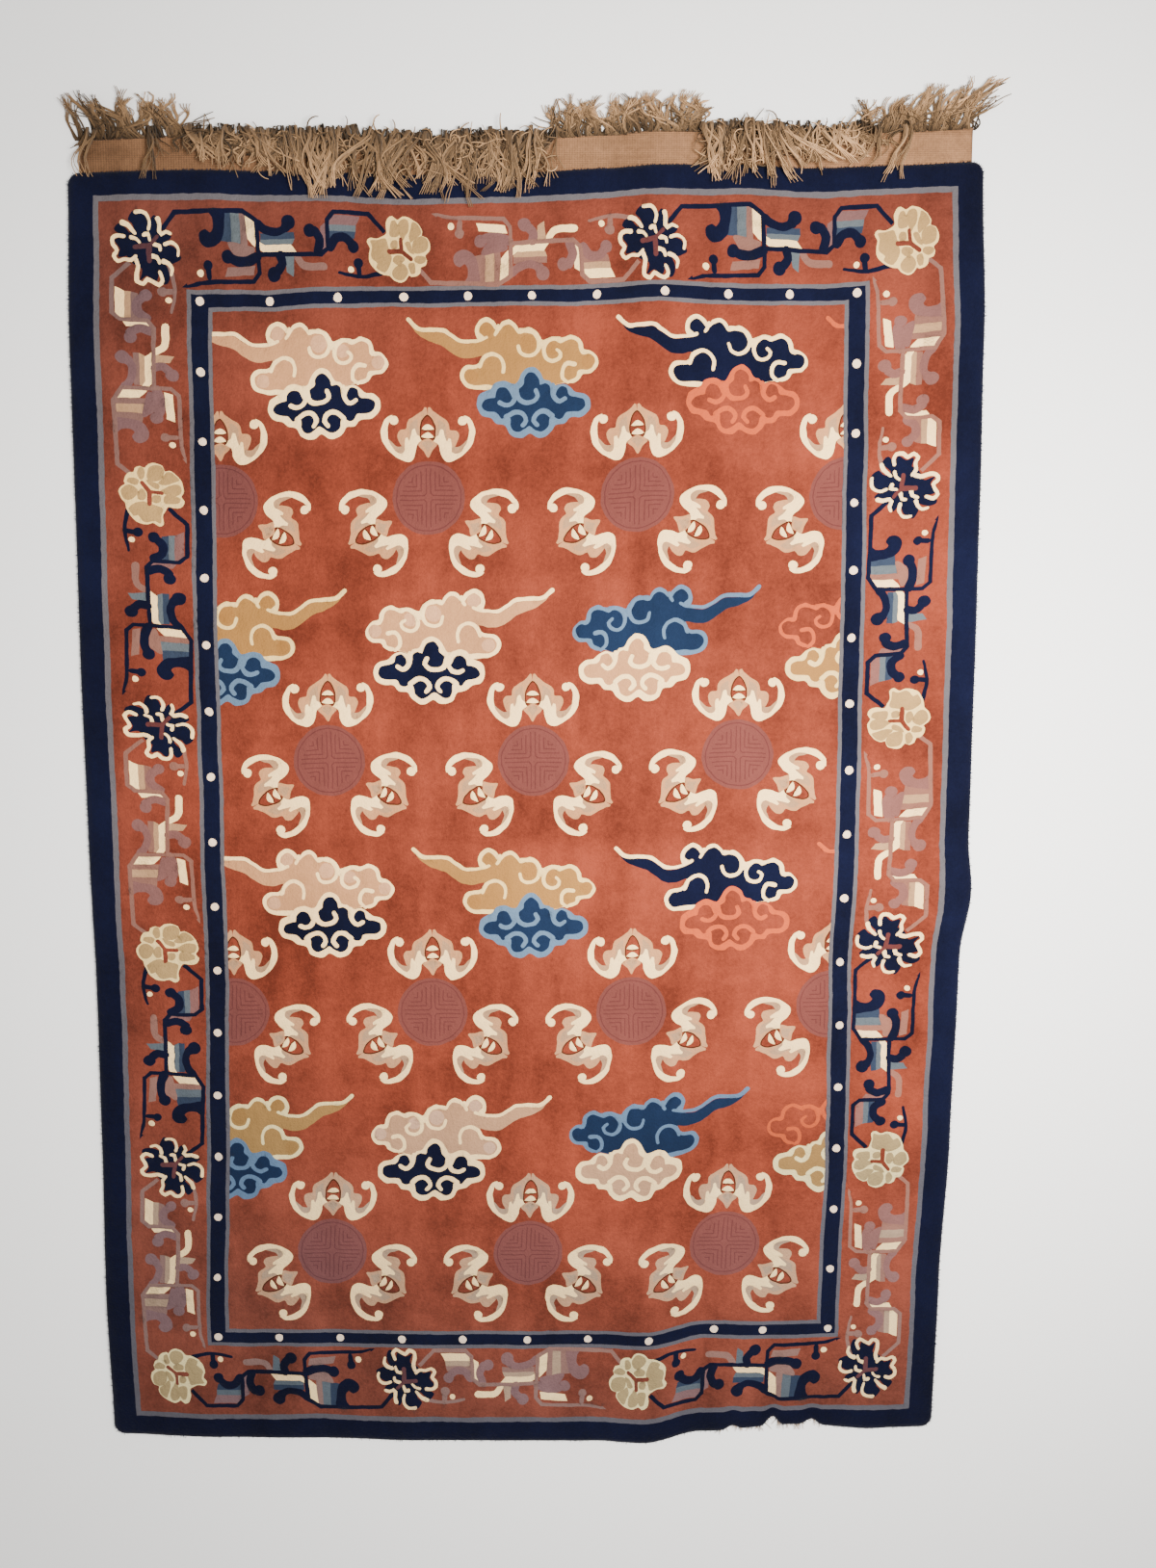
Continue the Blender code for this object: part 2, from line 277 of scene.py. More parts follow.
def between(rows, key, column, at):
    """The value of a table's column at a place between its rows, eased from row to row."""
    if at <= rows[0][key]:
        return rows[0][column]
    for low, high in zip(rows, rows[1:]):
        if at <= high[key]:
            share = (at - low[key]) / (high[key] - low[key])
            eased = share * share * (3 - 2 * share)
            return low[column] + (high[column] - low[column]) * eased
    return rows[-1][column]


def bump(at, centre, half_width):
    """A smooth hump: 1 at its centre and 0 from half_width on."""
    away = abs(at - centre) / half_width
    return 0.5 + 0.5 * math.cos(math.pi * away) if away < 1 else 0.0


def round_corner(x, y):
    """Moves a point in a corner's square into the quarter circle of the corner."""
    over_x = abs(x) - (HALF_WIDTH - CORNER_RADIUS)
    over_y = abs(y) - (HALF_LENGTH - CORNER_RADIUS)
    if over_x <= 0 or over_y <= 0:
        return x, y
    square = 2 * CORNER_RADIUS * CORNER_RADIUS
    round_x = over_x * math.sqrt(max(0.0, 1 - over_y * over_y / square))
    round_y = over_y * math.sqrt(max(0.0, 1 - over_x * over_x / square))
    return (
        math.copysign(HALF_WIDTH - CORNER_RADIUS + round_x, x),
        math.copysign(HALF_LENGTH - CORNER_RADIUS + round_y, y),
    )


def band_shift(x, y):
    """How far the drift of the band of pearls moves a point of the chart."""
    across = min(1.0, max(0.0, x / (2 * BAND_HALF_WIDTH) + 0.5))
    along = min(1.0, max(0.0, y / (2 * BAND_HALF_LENGTH) + 0.5))
    fade_x = (GUARD["x"] - abs(x)) / (GUARD["x"] - BAND_HALF_WIDTH)
    fade_y = (GUARD["y"] - abs(y)) / (GUARD["y"] - BAND_HALF_LENGTH)
    fade = min(1.0, max(0.0, fade_x)) * min(1.0, max(0.0, fade_y))
    left = between(BAND_SIDE_DRIFT, "y", "left", y)
    right = between(BAND_SIDE_DRIFT, "y", "right", y)
    plain = between(BAND_END_DRIFT, "x", "plain", x)
    fringed = between(BAND_END_DRIFT, "x", "fringed", x)
    return (left + (right - left) * across) * fade, (plain + (fringed - plain) * along) * fade


def on_rug(x, y):
    """Where a point of the weaver's chart, in millimetres, lies on the real rug, in metres."""
    shift_x, shift_y = band_shift(x, y)
    x, y = x + shift_x, y + shift_y
    near_plain_end = max(0.0, -y / HALF_LENGTH) ** WEAR_FADE
    near_right_side = max(0.0, x / HALF_WIDTH) ** SWELLING_FADE
    wear = 0.0
    if near_plain_end > WEAR_LEAST:
        wear = sum(bay["depth"] * bump(x, bay["x"], bay["half_width"]) for bay in WORN_BAYS)
    swelling = SIDE_SWELLING["height"] * bump(y, SIDE_SWELLING["y"], SIDE_SWELLING["half_width"])
    x, y = round_corner(x, y)
    across = x / (2 * HALF_WIDTH) + 0.5
    along = y / (2 * HALF_LENGTH) + 0.5
    left = between(SIDE_DRIFT, "y", "left", y)
    right = between(SIDE_DRIFT, "y", "right", y)
    plain = between(END_DRIFT, "x", "plain", x)
    fringed = between(END_DRIFT, "x", "fringed", x)
    real_x = x + left + (right - left) * across + swelling * near_right_side
    real_y = y + plain + (fringed - plain) * along + SKEW * x + wear * near_plain_end
    return real_x * MM, real_y * MM


def pile_top(x, y):
    """The height of the pile: level, but for a slow swell."""
    wave = math.sin(math.tau * x / SWELL_WAVE_X + SWELL_PHASE) * math.sin(math.tau * y / SWELL_WAVE_Y)
    return THICKNESS + SWELL * wave


def curve_at(t, a, b, c, d):
    """A smooth curve's value between b and c, which also minds the values before and after them."""
    square = 2 * a - 5 * b + 4 * c - d
    cube = 3 * b - a - 3 * c + d
    return 0.5 * (2 * b + (c - a) * t + square * t * t + cube * t ** 3)


def smooth_line(points, closed, spacing):
    """Points along a smooth curve through the given ones."""
    count = len(points)
    spans = count if closed else count - 1
    made = []
    for i in range(spans):
        if closed:
            p0, p1, p2, p3 = (points[(i + k) % count] for k in (-1, 0, 1, 2))
        else:
            p0, p1, p2, p3 = (points[min(max(i + k, 0), count - 1)] for k in (-1, 0, 1, 2))
        steps = max(1, round(math.dist(p1, p2) / spacing))
        for step in range(steps):
            made.append(tuple(curve_at(step / steps, *values) for values in zip(p0, p1, p2, p3)))
    if not closed:
        made.append(tuple(points[-1]))
    return made


MITRE_MOST = 1.5
MITRE_SHARPEST = 0.3


def ribbon(path, widths, round_ends):
    """The outline of a line with a width at each of its points."""
    left, right = [], []
    last = len(path) - 1
    for i, (x, y) in enumerate(path):
        before, after = path[max(i - 1, 0)], path[min(i + 1, last)]
        run_in = Vector((x - before[0], y - before[1])) if i else Vector((after[0] - x, after[1] - y))
        run_out = Vector((after[0] - x, after[1] - y)) if i < last else run_in
        run_in.normalize()
        run_out.normalize()
        along = (run_in + run_out).normalized()
        mitre = min(MITRE_MOST, 1 / max(MITRE_SHARPEST, along.dot(run_out)))
        reach = widths[i] / 2 * mitre
        left.append((x - along.y * reach, y + along.x * reach))
        right.append((x + along.y * reach, y - along.x * reach))
        if i == 0:
            start_along = along
        if i == last:
            end_along = along
    if not round_ends:
        return left + right[::-1]
    end_cap = cap(path[-1], end_along, widths[-1] / 2)
    start_cap = cap(path[0], -start_along, widths[0] / 2)
    return left + end_cap + right[::-1] + start_cap


def cap(at, along, radius):
    """The rounded end of a line, clockwise from its left edge to its right edge."""
    start = math.atan2(along.y, along.x) + math.pi / 2
    turns = [start - math.pi * k / 4 for k in (1, 2, 3)]
    return [(at[0] + radius * math.cos(turn), at[1] + radius * math.sin(turn)) for turn in turns]


class Chart(list):
    """The shapes of a drawing, as pairs of dye and outline, and the step along their curves."""

    def __init__(self, spacing):
        super().__init__()
        self.spacing = spacing


DISC_POINTS_LEAST = 8
DISC_POINTS_PER_MM = 2.1


class Pen:
    """Draws shapes in a motif's own millimetres. Later shapes cover earlier ones."""

    def __init__(self, shapes, x=0.0, y=0.0, turn=0.0, across=1.0, up=1.0):
        self.shapes = shapes
        self.x, self.y = x, y
        self.cos, self.sin = math.cos(math.radians(turn)), math.sin(math.radians(turn))
        self.across, self.up = across, up

    def place(self, x, y):
        x, y = x * self.across, y * self.up
        return self.x + x * self.cos - y * self.sin, self.y + x * self.sin + y * self.cos

    def patch(self, points, dye):
        """A shape with straight sides."""
        placed = [self.place(x, y) for x, y in points]
        area = sum(a[0] * b[1] - b[0] * a[1] for a, b in zip(placed, placed[1:] + placed[:1]))
        self.shapes.append((dye, placed if area > 0 else placed[::-1]))

    def blob(self, points, dye):
        """A shape with a smooth outline."""
        self.patch(smooth_line(points, True, self.shapes.spacing), dye)

    def disc(self, x, y, radius, dye):
        count = max(DISC_POINTS_LEAST, round(radius * DISC_POINTS_PER_MM))
        turns = [math.tau * i / count for i in range(count)]
        self.patch([(x + radius * math.cos(turn), y + radius * math.sin(turn)) for turn in turns], dye)

    def line(self, points, width, dye, end_width=None):
        """A smooth line with round ends, which may narrow towards its end."""
        path = smooth_line(points, False, self.shapes.spacing)
        end_width = width if end_width is None else end_width
        last = len(path) - 1
        widths = [width + (end_width - width) * i / last for i in range(last + 1)]
        self.patch(ribbon(path, widths, True), dye)

    def rail(self, points, width, dye):
        """A line with straight runs and mitred bends."""
        self.patch(ribbon(points, [width] * len(points), False), dye)


# Clouds, in millimetres from the middle of the small one. The rim is what shows round the fill
SMALL_RIM = (
    (-76, 2), (-73, 13), (-63, 19), (-57, 22), (-51, 30), (-40, 33), (-28, 29), (-22, 31), (-16, 43),
    (-8, 50), (1, 51), (9, 45), (15, 35), (23, 33), (29, 27), (42, 29), (52, 24), (59, 18), (70, 16), (78, 7),
    (77, -7), (66, -16), (51, -17), (44, -25), (32, -27), (27, -35), (18, -42), (8, -43), (-3, -37),
    (-13, -43), (-24, -42), (-32, -37), (-37, -27), (-49, -24), (-57, -17), (-69, -14), (-75, -6),
)
SMALL_FILL = (
    (-69, 1), (-65, 7), (-56, 10), (-51, 11), (-50, 18), (-45, 24), (-37, 24), (-32, 19), (-29, 12), (-23, 8),
    (-19, 13), (-20, 22), (-13, 29), (-12, 37), (-6, 44), (2, 43), (8, 36), (10, 28), (17, 30), (23, 26),
    (25, 17), (31, 11), (33, 20), (39, 26), (47, 23), (49, 16), (53, 12), (62, 11), (70, 7), (71, -2),
    (65, -8), (54, -9), (46, -10), (42, -17), (35, -19), (27, -14), (24, -20), (22, -29), (14, -35), (5, -33),
    (-4, -27), (-11, -31), (-19, -35), (-27, -33), (-30, -25), (-30, -17), (-35, -13), (-42, -18), (-49, -10),
    (-62, -8), (-68, -4),
)
SMALL_CURLS = (
    ((-28, 26), (-24, 19), (-25, 10), (-30, 3), (-38, 1), (-45, 4)),
    ((-23, 22), (-20, 11), (-14, 6), (-6, 5), (2, 7), (7, 13), (4, 21)),
    ((27, 27), (28, 16), (32, 8), (38, 5), (45, 9)),
    ((-36, -15), (-27, -9), (-18, -8), (-11, -13), (-9, -20), (-13, -26)),
    ((28, -15), (19, -8), (10, -8), (4, -13), (2, -20), (7, -26)),
)
BIG_RIM = (
    (-74, 86), (-78, 100), (-73, 112), (-62, 117), (-52, 112), (-46, 105), (-41, 110), (-31, 113), (-22, 107),
    (-17, 100), (-5, 103), (5, 98), (11, 90), (14, 86), (27, 91), (38, 89), (44, 90), (52, 93), (63, 88),
    (68, 80), (69, 73), (78, 71), (87, 62), (88, 52), (80, 43), (68, 41), (63, 34), (54, 30), (40, 30),
    (0, 20), (-60, 20), (-85, 22), (-97, 31), (-99, 43), (-91, 53), (-75, 55), (-69, 64), (-66, 74),
)
BIG_FILL = (
    (-168, 114), (-156, 101), (-138, 99), (-122, 98), (-111, 91), (-96, 83), (-82, 83), (-73, 86), (-66, 92),
    (-72, 97), (-71, 105), (-63, 111), (-55, 107), (-50, 100), (-45, 99), (-40, 104), (-31, 107), (-25, 103),
    (-19, 95), (-12, 96), (-4, 98), (4, 93), (7, 84), (11, 74), (16, 80), (22, 86), (30, 86), (38, 82),
    (45, 85), (53, 87), (61, 82), (63, 73), (66, 67), (77, 65), (82, 58), (81, 50), (75, 47), (62, 46),
    (59, 38), (52, 35), (30, 28), (-20, 22), (-60, 27), (-83, 27), (-92, 34), (-93, 42), (-87, 48),
    (-74, 50), (-68, 58), (-68, 66), (-84, 63), (-99, 65), (-112, 73), (-125, 82), (-143, 88), (-160, 99),
)
BIG_CURLS = (
    ((-169, 114), (-156, 103), (-138, 102), (-121, 101), (-110, 94), (-96, 86), (-81, 86), (-70, 88),
     (-62, 91)),
    ((-46, 105), (-48, 98), (-50, 95)),
    ((-17, 99), (-8, 99), (2, 96), (8, 86), (8, 76), (2, 68), (-8, 66), (-16, 70), (-19, 79)),
    ((37, 87), (27, 88), (18, 81), (15, 71), (18, 62), (26, 58), (35, 61), (38, 68), (33, 73)),
    ((57, 54), (47, 55), (41, 48), (41, 37), (48, 31)),
    ((-71, 52), (-66, 63), (-55, 69), (-44, 65), (-39, 55), (-40, 44)),
)
BALLS = ((-62, 101, 9), (-6, 83, 11), (26, 74, 9), (75, 58, 9), (-82, 38, 9))
BIG_CURL_WIDTH = {"start": 6, "end": 4.5}
SMALL_CURL_WIDTH = {"start": 7, "end": 6}


def cloud(pen, colours):
    """A big cloud with a streaming tail, and a small cloud in front of it."""
    fill, rim, shade = colours["big"]
    pen.blob(BIG_RIM, rim)
    pen.blob(BIG_FILL, fill)
    for x, y, radius in BALLS:
        pen.disc(x, y, radius, shade)
    for curl in BIG_CURLS:
        pen.line(curl, BIG_CURL_WIDTH["start"], rim, BIG_CURL_WIDTH["end"])
    fill, rim = colours["small"]
    pen.blob(SMALL_RIM, rim)
    pen.blob(SMALL_FILL, fill)
    for curl in SMALL_CURLS:
        pen.line(curl, SMALL_CURL_WIDTH["start"], rim, SMALL_CURL_WIDTH["end"])


# The right half of a bat, in millimetres from the middle of its body
HOOD = (
    (1, 38), (7, 34), (15, 28), (26, 21), (29, 14), (30, 8), (38, 7), (42, 1), (40, -8), (36, -15), (30, -16),
    (20, -14), (10, -8), (0, -5),
)
HOOD_FOOT = (1, 0)
HOOD_SHADE = ((14, 22), (20, 19), (25, 13), (25, 2), (27, -8), (20, -12), (12, -8), (12, 4), (14, 14))
WING = (
    (48, 27), (56, 24), (61, 16), (64, 4), (61, -10), (53, -21), (42, -30), (29, -35), (21, -31), (17, -22),
    (15, -12), (8, -7), (9, -2), (15, 1), (18, 9), (21, 8), (23, 0), (26, -8), (28, -3), (31, -4), (32, -14),
    (33, -21), (38, -24), (45, -21), (52, -11), (54, -3), (55, 8), (53, 17),
)
WING_SHADE = (
    (33, -14), (38, -15), (44, -14), (50, -8), (55, -4), (53, -13), (45, -22), (37, -24), (33, -20),
)
WING_TIP = {"x": 46.5, "y": 20, "radius": 6.2}
HOLLOW = ((0, 29), (5, 25), (9, 18), (11, 10), (11, 0), (7, -7))
HOLLOW_INSIDE = {"across": 0.84, "up": 0.93}
BAR = ((-8.5, 0), (-5, 4.5), (0, 6.5), (5, 4.5), (8.5, 0), (4, -1), (-4, -1))
BAR_HEIGHTS = (9, -2)
BAR_SHADOW = 1.6
WEDGE = ((-14, -11.5), (-6, -6), (0, -3.5), (6, -6), (13, -11.5), (6, -19), (0, -28.5), (-6, -20))
WEDGE_SHADE = {"share": 0.6, "lower": 4}


def bat(pen):
    """A bat, head up: a pointed hood, a wedge tail, and wings that droop and hook up at their ends."""
    for side in (-1, 1):
        pen.blob([(side * x, y) for x, y in HOOD] + [(-side * HOOD_FOOT[0], HOOD_FOOT[1])], "pink")
        for points, dye in ((HOOD_SHADE, "beige"), (WING_SHADE, "beige"), (WING, "cream")):
            pen.blob([(side * x, y) for x, y in points], dye)
        pen.disc(side * WING_TIP["x"], WING_TIP["y"], WING_TIP["radius"], "cream")
    hollow = [(x, y) for x, y in HOLLOW] + [(-x, y) for x, y in reversed(HOLLOW[1:])]
    pen.blob(hollow, "umber")
    pen.blob([(x * HOLLOW_INSIDE["across"], y * HOLLOW_INSIDE["up"]) for x, y in hollow], GROUND)
    for height in BAR_HEIGHTS:
        pen.blob([(x, y + height - BAR_SHADOW) for x, y in BAR], "umber")
        pen.blob([(x, y + height) for x, y in BAR], "cream")
    pen.blob(WEDGE, "pink")
    share, lower = WEDGE_SHADE["share"], WEDGE_SHADE["lower"]
    pen.blob([(x * share, y * share - lower) for x, y in WEDGE], "beige")


# Roundel: its discs from below to above, and a quarter of the lines of its fret
ROUNDEL_DISCS = ((50, "plum"), (45.5, "plum_dark"), (44, "plum"))
FRET_WIDTH = 1.5
FRET = (
    ((3, 40), (3, 6), (6, 3), (40, 3)),
    ((9, 36), (9, 10), (36, 10)),
    ((15, 32), (15, 16), (32, 16)),
    ((21, 28), (21, 22), (28, 22)),
)


def roundel(pen):
    """A plain geometric fret in a disc, tone on tone."""
    for radius, dye in ROUNDEL_DISCS:
        pen.disc(0, 0, radius, dye)
    for turn in (0, 90, 180, 270):
        quarter = Pen(pen.shapes, *pen.place(0, 0), turn)
        for points in FRET:
            quarter.rail(points, FRET_WIDTH, "plum_dark")


# Flowers, in millimetres from their middle
NAVY_PETALS = (
    ((-21, 35), (-14, 44), (-4, 43), (3, 36), (3, 27), (-2, 16), (-7, 14), (-12, 20), (-16, 30)),
    ((-39, 23), (-34, 30), (-28, 27), (-20, 19), (-13, 16), (-13, 11), (-23, 13), (-31, 17)),
    ((-39, 8), (-33, 12), (-24, 12), (-14, 8), (-11, -3), (-14, -9), (-23, -8), (-35, -10), (-33, -1)),
    ((-9, -17), (0, -12), (12, -18), (14, -27), (11, -40), (1, -34), (-8, -39), (-5, -28)),
    ((16, -17), (24, -20), (29, -33), (26, -42), (20, -42), (20, -31), (15, -25)),
    ((18, 1), (28, 3), (38, -1), (44, -11), (38, -16), (28, -18), (19, -13), (14, -6)),
    ((6, 30), (13, 39), (16, 31), (15, 18), (9, 14), (5, 22)),
    ((16, 11), (28, 17), (33, 14), (28, 9), (19, 5)),
)
NAVY_STROKES = (
    # points, width, end width
    (((-12, 44), (-2, 44), (4, 39), (6, 31), (4, 24)), 4.9, 4.1),
    (((-30, 32), (-23, 29), (-18, 24), (-14, 19)), 6.6, 4.1),
    (((-29, 15), (-37, 16), (-43, 12), (-43, 4), (-38, -3), (-42, -11), (-37, -17), (-29, -14), (-20, -15),
      (-14, -10)), 5.3, 4.9),
    (((-13, -14), (-11, -21), (-13, -34), (-12, -42), (-5, -45), (1, -39), (8, -42), (15, -45), (20, -39),
      (17, -30)), 5.7, 4.9),
    (((22, -16), (28, -18), (33, -24), (32, -32)), 6.1, 3.3),
    (((25, 5), (33, 7), (41, 3), (43, -4), (42, -9)), 4.9, 3.7),
    (((17, 36), (19, 29), (18, 20), (21, 17), (27, 20), (33, 18)), 6.1, 4.1),
    (((-19, 14), (-12, 12), (-8, 7)), 4.9, 3.3),
    (((-2, 17), (3, 18), (5, 11)), 5.7, 4.1),
    (((11, 5), (18, 3), (19, -2)), 5.7, 4.1),
    (((7, -9), (14, -11), (17, -18)), 5.7, 4.1),
)
NAVY_HEART = 27
NAVY_FORK = (
    # points, width
    (((-14, 2), (4, 4)), 6),
    (((4, 4), (15, 14)), 5),
    (((4, 4), (4, -15)), 7),
)
NAVY_PETALS_GROWN = 1.12


def grown(points, scale):
    """The same shape, larger or smaller about its own middle."""
    middle_x = sum(x for x, _ in points) / len(points)
    middle_y = sum(y for _, y in points) / len(points)
    return [(middle_x + (x - middle_x) * scale, middle_y + (y - middle_y) * scale) for x, y in points]


def navy_blossom(pen):
    """A dark flower whose petals have cream rims on one side, round a dull red Y."""
    pen.disc(0, 1, NAVY_HEART, "navy")
    for petal in NAVY_PETALS:
        pen.blob(grown(petal, NAVY_PETALS_GROWN), "navy")
    for points, width, end_width in NAVY_STROKES:
        pen.line(points, width, "cream", end_width)
    for points, width in NAVY_FORK:
        pen.line(points, width, "plum_dark")


TAN_RIM = (
    (-17, 21), (-18, 31), (-15, 40), (-8, 43), (-2, 39), (6, 43), (15, 41), (21, 38), (27, 33), (32, 24),
    (31, 18), (38, 15), (42, 5), (40, -4), (35, -9), (37, -15), (34, -22), (28, -24), (27, -30), (22, -35),
    (14, -36), (11, -34), (7, -40), (0, -43), (-9, -40), (-15, -34), (-22, -33), (-34, -27), (-41, -17),
    (-42, -6), (-40, 1), (-44, 9), (-40, 15), (-31, 14), (-23, 17),
)
TAN_PETALS = (
    ((-11, 18), (-12, 28), (-9, 36), (-5, 37), (-2, 31), (-1, 19)),
    ((1, 20), (-1, 29), (3, 37), (10, 38), (13, 33), (12, 24), (8, 18), (5, 13)),
    ((14, 18), (17, 28), (20, 35), (27, 29), (29, 21), (21, 14), (16, 10)),
    ((19, 5), (22, 12), (30, 16), (37, 12), (38, 5), (35, -2), (27, -5), (20, -3)),
    ((23, -10), (34, -11), (34, -16), (27, -19), (20, -15)),
    ((12, -20), (18, -18), (20, -25), (19, -31), (15, -32), (12, -26)),
    ((-4, -22), (4, -20), (9, -28), (6, -36), (0, -39), (-8, -36), (-10, -29)),
    ((-38, -8), (-36, 2), (-38, 9), (-30, 10), (-20, 12), (-17, 5), (-15, -4), (-13, -11), (-16, -20),
     (-22, -27), (-32, -22), (-30, -17), (-35, -13)),
    ((-12, 6), (-9, 11), (-3, 10), (-3, 2), (-10, 1)),
    ((-7, -9), (3, -9), (6, -14), (-2, -19), (-9, -15)),
    ((8, 8), (14, 9), (17, 1), (19, -6), (12, -2)),
)
TAN_FORK = (
    # points, width
    (((-14, -3), (3, -3)), 6.5),
    (((2, 13), (3, -3)), 5),
    (((3, -3), (15, -13)), 5.5),
)
TAN_PETALS_GROWN = 1.13


def tan_blossom(pen):
    """A pale flower of rounded petals with cream rims, round a Y in the ground's colour."""
    pen.blob(TAN_RIM, "straw")
    for petal in TAN_PETALS:
        pen.blob(grown(petal, TAN_PETALS_GROWN), "tan")
    for points, width in TAN_FORK:
        pen.line(points, width, GROUND)


# Vines: the length of one as it is drawn, and the dyes of its parts
VINE_LENGTH = 350
NAVY_VINE, PALE_VINE = table(
    "stem crook band light_band heel thin bar low_bar side_bar smear dot",
    ("navy", "navy", "steel", "mist", "dusty", "dusty", "cream", "dusty", "mauve", "dusty", "cream"),
    ("dusty", "mauve", "dusty", "beige", "mauve", "dusty", "cream", "cream", "cream", "cream", "cream"),
)


def vine(pen, dye):
    """A stepped stem from one flower to the next, with crooked leaves, bars of colour and two buds."""
    pen.patch([(102, 46), (118, 46), (118, 8), (103, 10)], dye["band"])
    pen.patch([(117, 46), (130, 46), (131, 6), (117, 8)], dye["light_band"])
    pen.patch([(129, 46), (138, 46), (139, 2), (130, 4)], dye["thin"])
    pen.blob([(112, 9), (134, 6), (149, 2), (146, -6), (134, -10), (120, -6)], dye["heel"])
    pen.patch([(137, 44), (144, 43), (150, 36), (150, 3), (146, 6), (139, 13)], dye["bar"])
    pen.blob([(86, 47), (108, 47), (108, 30), (104, 12), (94, 3), (82, 2), (74, 9), (74, 19), (82, 24),
              (88, 20), (93, 26), (92, 38)], dye["crook"])
    pen.line([(152, -9), (138, -14), (124, -14), (112, -9)], 13, dye["crook"], 12)
    pen.disc(111, -9, 8.5, dye["crook"])
    pen.patch([(110, -22), (149, -19), (146, -30), (106, -33)], dye["low_bar"])

    pen.patch([(157, 20), (204, 20), (204, 12), (157, 12)], dye["band"])
    pen.patch([(157, 12), (204, 12), (201, 5), (157, 5)], dye["light_band"])
    pen.patch([(156, 9), (163, 5), (199, 5), (207, -5), (163, -5), (156, 0)], dye["bar"])
    pen.line([(155, 32), (163, 25), (180, 21), (193, 26)], 11, dye["crook"], 10)
    pen.disc(197, 33, 9.5, dye["crook"])
    pen.disc(193, 27, 7, dye["crook"])
    pen.patch([(190, -9), (203, -9), (201, -34), (192, -28)], dye["light_band"])
    pen.line([(184, -8), (186, -18), (180, -26)], 12, dye["crook"])
    pen.disc(174, -30, 9, dye["crook"])
    pen.line([(207, -11), (217, -22), (243, -23)], 9, dye["smear"], 10)

    pen.patch([(240, -4), (249, -4), (249, 32), (241, 27)], dye["side_bar"])
    pen.line([(235, -5), (239, 10), (233, 22)], 12, dye["crook"])
    pen.disc(226, 22, 8.5, dye["crook"])
    pen.patch([(253, 41), (297, 41), (291, 29), (253, 29)], dye["side_bar"])
    pen.patch([(253, 29), (291, 29), (290, 21), (253, 21)], dye["light_band"])
    pen.patch([(253, 21), (290, 21), (288, 12), (253, 12)], dye["band"])
    pen.line([(254, 1), (262, 12), (275, 13), (284, 5)], 12, dye["crook"])
    pen.disc(286, 2, 8, dye["crook"])

    pen.rail([(22, 22), (41, 44), (134, 47), (152, 36), (154, -6), (240, -8), (250, 0), (251, 35), (260, 45),
              (308, 45), (330, 22)], 6, dye["stem"])
    pen.rail([(154, -2), (154, -28), (145, -38), (72, -40), (54, -44), (50, -45), (66, -36), (84, -34)], 5.5,
             dye["stem"])
    pen.line([(83, -21), (84, -34)], 8, dye["stem"], 7)
    pen.disc(83, -20, 6.5, dye["stem"])
    pen.disc(72, -29, 4.6, dye["dot"])
    pen.line([(326, -30), (296, -36), (264, -31)], 6.5, dye["stem"], 4)
    pen.line([(292, -21), (293, -35)], 8, dye["stem"], 7)
    pen.disc(292, -19, 6.8, dye["stem"])
    pen.disc(281, -27, 4.4, dye["dot"])


# Field: the steps of its columns and rows, and the places of its motifs in them
COLUMN_PITCH = 285.5
ROW_PITCH = 363.5
LATTICE_X = 6
CLOUD_Y = 602
ROUNDEL_Y = 479
TOP_BAT_Y = 83
LOW_BAT_X = 75
LOW_BAT_Y = -46
LOW_BAT_TURN = 119
ROWS = 4
REPEAT_REACH = 130

# The clouds of every second row, from left to right: fill, rim and shade of the big one, fill and rim of the
# small one
CLOUD_ROWS = (
    table(
        "column big small",
        (-1, ("pink", "cream", "pink_deep"), ("navy", "cream")),
        (0, ("gold", "straw", "gold_deep"), ("blue", "pale_blue")),
        (1, ("navy", "cream", "navy"), (GROUND, "rose")),
        (2, (GROUND, "rose", GROUND), ("gold", "straw")),
    ),
    table(
        "column big small",
        (-1.5, ("gold", "straw", "gold_deep"), ("blue", "pale_blue")),
        (-0.5, ("pink", "cream", "pink_deep"), ("navy", "cream")),
        (0.5, ("blue", "pale_blue", "blue"), ("pink", "cream")),
        (1.5, (GROUND, "rose", GROUND), ("gold", "straw")),
    ),
)


def draw_field(shapes):
    """Rows of clouds, and rows of roundels with three bats each, in a half-dropped lattice."""
    for row in range(ROWS):
        kind = row % 2
        y = ROUNDEL_Y - row * ROW_PITCH
        shift = 0 if kind else 0.5
        for step in range(-2, 3):
            x = LATTICE_X + (step + shift) * COLUMN_PITCH
            if abs(x) > FIELD_HALF_WIDTH + REPEAT_REACH:
                continue
            roundel(Pen(shapes, x, y))
            bat(Pen(shapes, x, y + TOP_BAT_Y))
            bat(Pen(shapes, x - LOW_BAT_X, y + LOW_BAT_Y, LOW_BAT_TURN))
            bat(Pen(shapes, x + LOW_BAT_X, y + LOW_BAT_Y, -LOW_BAT_TURN))
        y = CLOUD_Y - row * ROW_PITCH
        for colours in CLOUD_ROWS[kind]:
            x = LATTICE_X + colours["column"] * COLUMN_PITCH
            cloud(Pen(shapes, x, y, 0, -1 if kind else 1), colours)


def frame_strips(shapes, outer_x, outer_y, inner_x, inner_y, dye):
    """A rectangular frame as four strips: fringed end, plain end, left and right."""
    strips = (
        (-outer_x, inner_y, outer_x, outer_y),
        (-outer_x, -outer_y, outer_x, -inner_y),
        (-outer_x, -inner_y, -inner_x, inner_y),
        (inner_x, -inner_y, outer_x, inner_y),
    )
    for left, low, right, high in strips:
        Pen(shapes).patch([(left, low), (right, low), (right, high), (left, high)], dye)


PEARL_RADIUS = 5.8
PEARLS_ACROSS = 10
PEARLS_ALONG = 16
BLOSSOM_INSET = 5


